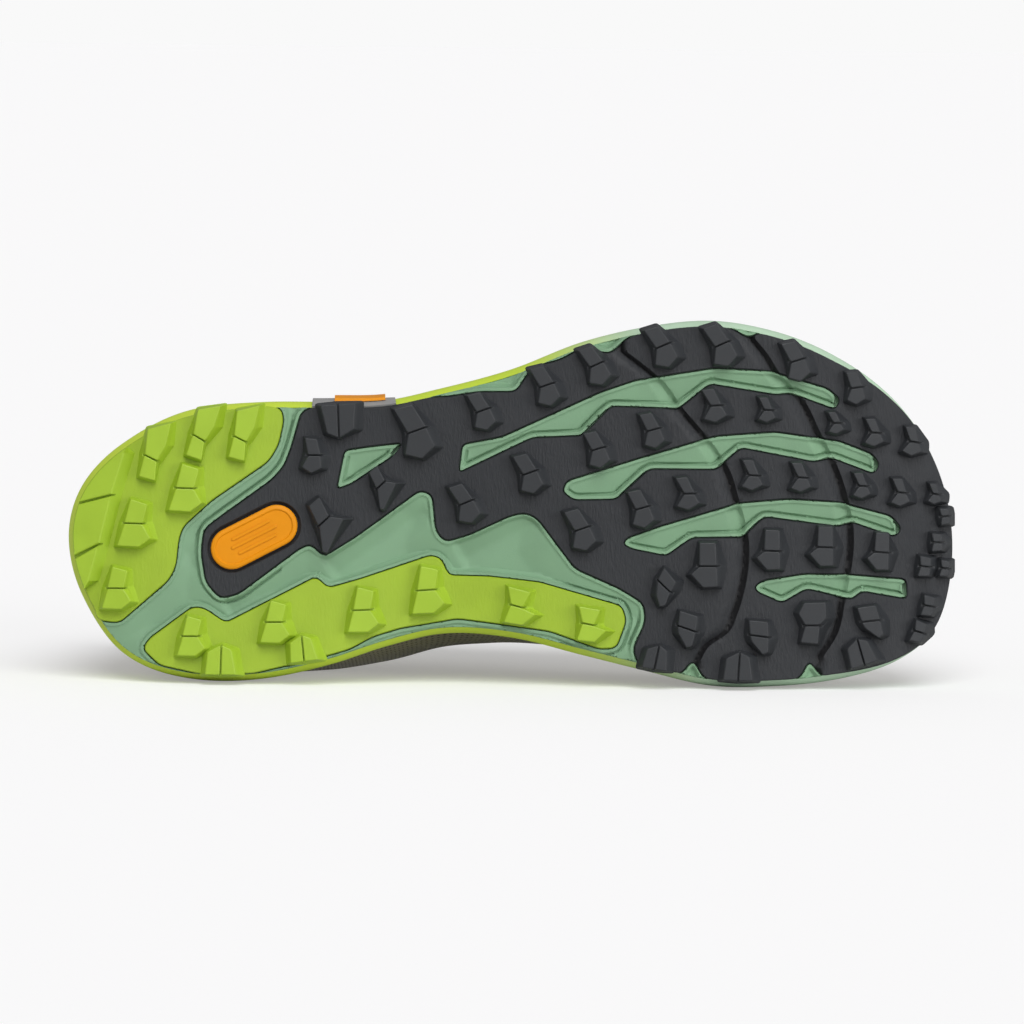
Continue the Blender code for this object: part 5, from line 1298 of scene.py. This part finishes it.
def make_tongue():
    seat = -UPPER_WALL - TONGUE_CLEARANCE
    across = np.linspace(-TONGUE_SIDE, TONGUE_SIDE, 45)
    along = np.linspace(0, 1, 60)
    half = (180 - THROAT_FRONT) * 0.75
    edge = 1 - np.abs(across / TONGUE_SIDE) ** 4
    sheets = []
    for side in (0, 1):
        grid_along, grid_across = np.meshgrid(along, across, indexing="ij")
        plump = edge[None, :] * (0.35 + 0.65 * smoothstep(-0.05, 0.3, grid_along))
        channel = 0.5 * MM * (np.cos(grid_along * math.pi * 12) > 0.93) * (np.abs(grid_across) < 1.0)
        lift = seat - side * TONGUE_THICKNESS * plump - (1 - side) * ((1 - plump) * 0.8 * MM + channel)
        body = instep(grid_along, grid_across, lift)
        turns = 180 + across / TONGUE_SIDE * half
        levels = np.linspace(0.83, 1.0, 8)[:, None] * np.ones_like(across)
        front = wall_point(turns[None] + 0 * levels, levels)
        front += wall_normal(turns[None] + 0 * levels, levels) * \
            (seat - side * TONGUE_THICKNESS * 0.35 * edge - (1 - side) * 0.5 * MM)[None, :, None]
        last, middle = body[-1], len(across) // 2
        direction = body[-1, middle] - body[-9, middle]
        direction /= np.linalg.norm(direction)
        top = []
        for share in np.linspace(0.08, 1.0, 14):
            width = 1 - 0.22 * share - 0.3 * share ** 6
            row = last[middle] + (last - last[middle]) * width + direction * TONGUE_END * (
                share - 0.12 * share * (across[:, None] / TONGUE_SIDE) ** 2)
            row[:, 2] -= 1.2 * MM
            top.append(row)
        sheets.append(np.concatenate([front[:-1], body, np.array(top)]))
    top_sheet, low_sheet = sheets
    blend = smoothstep(len(top_sheet) - 6, len(top_sheet) - 1, np.arange(len(top_sheet)))[:, None, None]
    mean = (top_sheet + low_sheet) / 2
    top_sheet = top_sheet * (1 - blend * 0.75) + mean * blend * 0.75
    low_sheet = low_sheet * (1 - blend * 0.75) + mean * blend * 0.75
    rows, size = top_sheet.shape[:2]
    points = np.concatenate([top_sheet.reshape(-1, 3), low_sheet.reshape(-1, 3)])
    quads = grid_faces(rows, size, close_columns=False)
    border = np.concatenate([np.arange(size), np.arange(1, rows) * size + size - 1,
                             (rows - 1) * size + np.arange(size - 2, -1, -1),
                             np.arange(rows - 2, 0, -1) * size])
    count = rows * size
    ring = np.stack([border, np.roll(border, -1), np.roll(border, -1) + count, border + count], axis=1)
    uv = np.stack(np.meshgrid(np.arange(size), np.arange(rows)), axis=-1).reshape(-1, 2) * 1.9 * MM
    faces = list(quads) + [q[::-1] + count for q in quads] + list(ring[:, ::-1])
    return points, faces, np.concatenate([uv, uv])


points, faces, uv = make_tongue()
tongue = piece("tongue_pad", points, faces, tongue_cloth, uv=uv, crease=60)
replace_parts(tongue, "tongue")


INSOLE_COLUMNS = 180
# Inset and height over the footbed in mm, from the underside round the raised rim to the top
INSOLE_PROFILE = ((6.0, 0.6), (1.0, 0.6), (0.0, 1.8), (0.0, 4.4), (0.5, 5.0), (1.5, 5.0), (4.0, 4.4),
                  (9.0, 4.0), (14.0, 4.0))


def make_insole():
    """Insole: rings in from its edge, with a raised rim and a shallow heel cup."""
    turns = np.arange(INSOLE_COLUMNS) * 360.0 / INSOLE_COLUMNS
    clear = UPPER_INSET + UPPER_WALL * 1.5 + 2 * GAP
    rings = []
    for inset, lift in INSOLE_PROFILE:
        flat, _ = outline(turns, clear + inset * MM)
        rings.append(np.column_stack([flat, footbed(*flat.T) + lift * MM]))
    centre_line = rings[-1].copy()
    centre_line[:, 0] = np.clip(centre_line[:, 0], 0.045, 0.25)
    centre_line[:, 1] = np.interp(centre_line[:, 0], (0.0, 0.15, 0.3), (0.004, 0.0, -0.002))
    centre_line[:, 2] = footbed(centre_line[:, 0], centre_line[:, 1]) + INSOLE_THICKNESS
    for share in np.linspace(0.15, 1.0, 8):
        ring = rings[len(INSOLE_PROFILE) - 1] * (1 - share) + centre_line * share
        ring[:, 2] = footbed(ring[:, 0], ring[:, 1]) + INSOLE_THICKNESS
        rings.append(ring)
    faces = [tuple(face) for face in grid_faces(len(rings), INSOLE_COLUMNS)]
    faces.append(tuple(range(INSOLE_COLUMNS))[::-1])
    rings = np.array(rings)
    return rings, faces, rings[..., :2]


points, faces, uv = make_insole()
insole = piece("insole_sheet", points, faces, lining, uv=uv, facing=(0, 0, 1))
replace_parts(insole, "insole")

# %% [markdown]
# The lace is one flat braid. It could be drawn once for each crossing, but a route through the
# eyelets, over one another in turn, is what a hand does. Its ends stop inside the top eyelets.

# %% Lace and eyelets


def eyelet(row, side, lift):
    return instep(EYELET_ROWS[row], side * EYELET_REACH, lift)


LACE_WIDTH = 5.0 * MM
LACE_THICKNESS = 1.6 * MM
LACE_LIFT = 0.9 * MM + 3 * GAP + LACE_THICKNESS / 2


def braid_tube(path, normals, width=LACE_WIDTH, thickness=LACE_THICKNESS, sides=12):
    """A flat cord: a rounded section swept along the path, its flat side to the normals."""
    along = unit(np.gradient(path, axis=0))
    side = unit(np.cross(along, normals))
    up = np.cross(side, along)
    angle = np.arange(sides) * 2 * math.pi / sides
    shape_x = np.sign(np.cos(angle)) * np.abs(np.cos(angle)) ** 0.7 * width / 2
    shape_y = np.sign(np.sin(angle)) * np.abs(np.sin(angle)) ** 0.7 * thickness / 2
    rings = path[:, None] + side[:, None] * shape_x[None, :, None] + up[:, None] * shape_y[None, :, None]
    reel = (angle / math.pi * width)[None, :], travelled(path)[:, None]
    uv = np.stack(np.broadcast_arrays(*reel), axis=-1)
    return rings.reshape(-1, 3), capped(len(path), sides), uv.reshape(-1, 2)


def lace_run(first_side):
    """One end of the lace: across at each row, lifted in turn where it passes over the other."""
    along, across, lift = [], [], []
    side = first_side
    for row in range(len(EYELET_ROWS) - 1):
        t = np.linspace(0, 1, 14, endpoint=row == len(EYELET_ROWS) - 2)
        over = (row % 2 == 0) == (first_side > 0)
        along += list(EYELET_ROWS[row] + (EYELET_ROWS[row + 1] - EYELET_ROWS[row]) * t)
        across += list(side * EYELET_REACH * (1 - 2 * t))
        lift += list(LACE_LIFT + np.exp(-((t - 0.5) / 0.13) ** 2) * (1.1 if over else -0.1) * MM)
        side = -side
    path = instep(along, across, lift)
    return path, instep(along, across, np.array(lift) + MM) - path


laces = []
for first_side in (-1, 1):
    path, normals = lace_run(first_side)
    laces.append(braid_tube(path, normals))
bar_across = np.linspace(-1, 1, 16) * EYELET_REACH
bar_lift = LACE_LIFT - 0.3 * MM
bar_path = instep(EYELET_ROWS[0], bar_across, bar_lift)
laces.append(braid_tube(bar_path, instep(EYELET_ROWS[0], bar_across, bar_lift + MM) - bar_path))
lace_points, lace_faces = together([part[:2] for part in laces])
lace = piece("lace_braid", lace_points, lace_faces, braid, uv=np.concatenate([part[2] for part in laces]),
             facing=(0, 0, 1), crease=60)
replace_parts(lace, "lace")


EYELET_RING = ((3.4, -0.2), (3.3, 0.35), (2.9, 0.55), (2.4, 0.35), (2.2, -0.4))


def eyelets():
    """A rolled ring round each hole, a torus with a flat section."""
    made = []
    for row in range(len(EYELET_ROWS)):
        for side in (-1, 1):
            base = eyelet(row, side, 0.9 * MM)
            normal = unit(eyelet(row, side, 1.9 * MM) - base)
            first = unit(np.cross(normal, (0, 0, 1.0)))
            second = np.cross(normal, first)
            around = np.arange(20) * math.pi / 10
            rings = []
            for radius, height in EYELET_RING:
                circle = np.cos(around)[:, None] * first + np.sin(around)[:, None] * second
                rings.append(base + circle * radius * MM + normal * height * MM)
            made.append((np.concatenate(rings), grid_faces(len(rings), 20, close_rows=True)))
    return together(made)


rings = piece("eyelet_rings", *eyelets(), rubber("eyelet_film", (0.06, 0.06, 0.052), 0.5, lines=0.0),
              facing=(0, 0, 1))
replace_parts(rings, "upper")


STITCH_SIDES = 6
STITCH_RINGS = ((-0.5, 0.35), (-0.3, 1.0), (0.3, 1.0), (0.5, 0.35))


def stitches(name, lines, spacing=2.4 * MM, length=1.7 * MM, radius=0.28 * MM):
    """Short round threads along lines given as (points, normals): capsules with six sides."""
    angle = np.arange(STITCH_SIDES) * 2 * math.pi / STITCH_SIDES
    parts = []
    for points, normals in lines:
        step = travelled(points)
        at = np.arange(spacing / 2, step[-1], spacing)
        centres, up = along_line(at, step, points), along_line(at, step, normals)
        ahead = unit(along_line(at + 0.5 * MM, step, points) - centres)
        side = np.cross(ahead, up)
        round_it = side[:, None] * np.cos(angle)[None, :, None] + up[:, None] * np.sin(angle)[None, :, None]
        rings = [(centres + ahead * share * length)[:, None] + round_it * radius * size
                 for share, size in STITCH_RINGS]
        parts += [(stitch, capped(len(rings), STITCH_SIDES)) for stitch in np.stack(rings, axis=1)]
    return piece(name, *together(parts), thread, facing=(0, 0, 1), crease=60)


def seam(turn_from, turn_to, level_from, level_to, count=80, lift=0.8 * MM):
    turns = np.linspace(turn_from, turn_to, count)
    levels = np.linspace(level_from, level_to, count)
    normals = wall_normal(np.mod(turns, 360), levels)
    return wall_point(np.mod(turns, 360), levels) + normals * lift, normals


eyestay = [seam(82, 278, 0.905, 0.905, 200)]
counter = [seam(-46, 46, 0.54, 0.54, 120), seam(46.5, 46.5, 0.12, 0.53, 40),
           seam(-46.5, -46.5, 0.12, 0.53, 40)]
collar = [seam(-74, 74, 0.93, 0.93, 200, 0.0)]
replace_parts(stitches("seam_threads", eyestay + counter + collar), "upper")

# %% [markdown]
# The photo is a catalogue picture: one lens far away, square to the sole, on white paper that has no
# end. Many lamps would give the paper uneven tones, so an even sky lights it with two suns: a large
# soft one from above and a low one from the toe side, which shapes the lugs. Paper and sky have one
# tone for the camera and another for the light that they give, as a retouched background has.

# %% Floor, light and camera


def for_camera(tree, seen, unseen):
    """One colour for the camera and another for the light that is thrown back."""
    return shade(tree, unseen, seen, add(tree, "ShaderNodeLightPath").outputs["Is Camera Ray"])


def paper(half=60.0):
    mesh = bpy.data.meshes.new("paper_floor")
    corners = [(-half, -half, 0), (half, -half, 0), (half, half, 0), (-half, half, 0)]
    mesh.from_pydata(corners, [], [(0, 1, 2, 3)])
    material, tree, shader = start("white_paper", 0.9, Specular_IOR_Level=0.0)
    tree.links.new(for_camera(tree, PAPER_SEEN, PAPER_THROWN), shader.inputs["Base Color"])
    tree.links.new(for_camera(tree, PAPER_GLOW, (0, 0, 0)), shader.inputs["Emission Color"])
    shader.inputs["Emission Strength"].default_value = 1.0
    mesh.materials.append(material)
    obj = bpy.data.objects.new("paper_floor", mesh)
    bpy.context.scene.collection.objects.link(obj)


def sun(name, towards, strength, softness):
    data = bpy.data.lights.new(name, "SUN")
    data.energy, data.angle = strength, math.radians(softness)
    obj = bpy.data.objects.new(name, data)
    obj.rotation_mode = "QUATERNION"
    obj.rotation_quaternion = Vector(towards).to_track_quat("Z", "Y")
    bpy.context.scene.collection.objects.link(obj)


PAPER_SEEN = (0.684, 0.686, 0.700)
PAPER_GLOW = (0.30, 0.295, 0.28)
PAPER_THROWN = (0.75, 0.75, 0.73)
SKY_SEEN = (0.947, 0.947, 0.947)
SKY_LIGHT = (0.36, 0.36, 0.37)
paper()
sun("soft_sun", (0.10, -0.75, 0.80), 2.3, 40)
sun("low_sun", (0.95, -0.75, 0.12), 1.5, 30)
world = bpy.data.worlds.new("studio")
world.use_nodes = True
world.node_tree.links.new(for_camera(world.node_tree, SKY_SEEN, SKY_LIGHT),
                          world.node_tree.nodes["Background"].inputs["Color"])
bpy.context.scene.world = world

bpy.context.scene.view_settings.view_transform = "Standard"

PIXELS_PER_METRE = 2973.0
PHOTO_PIXELS = 1024
DISTANCE = 2.2
LENS = 36 * DISTANCE * PIXELS_PER_METRE / PHOTO_PIXELS
PHOTO_CENTRE = (512 - 65, 512 - 520)
camera = bpy.data.objects.new("camera", bpy.data.cameras.new("camera"))
camera.data.lens = LENS
camera.data.sensor_width = 36
camera.data.clip_end = 200
turn = LYING[:, :3]
aim = np.array((PHOTO_CENTRE[0] / PIXELS_PER_METRE, PHOTO_CENTRE[1] / PIXELS_PER_METRE, LUG_HEIGHT))
spot = turn @ aim + LYING[:, 3]
back = turn @ np.array((0, 0, -1.0))
matrix = np.eye(4)
matrix[:3, 0] = turn @ np.array((1.0, 0, 0))
matrix[:3, 1] = turn @ np.array((0, -1.0, 0))
matrix[:3, 2] = back
matrix[:3, 3] = spot + back * DISTANCE
camera.matrix_world = Matrix(matrix.tolist())
bpy.context.scene.collection.objects.link(camera)
bpy.context.scene.camera = camera
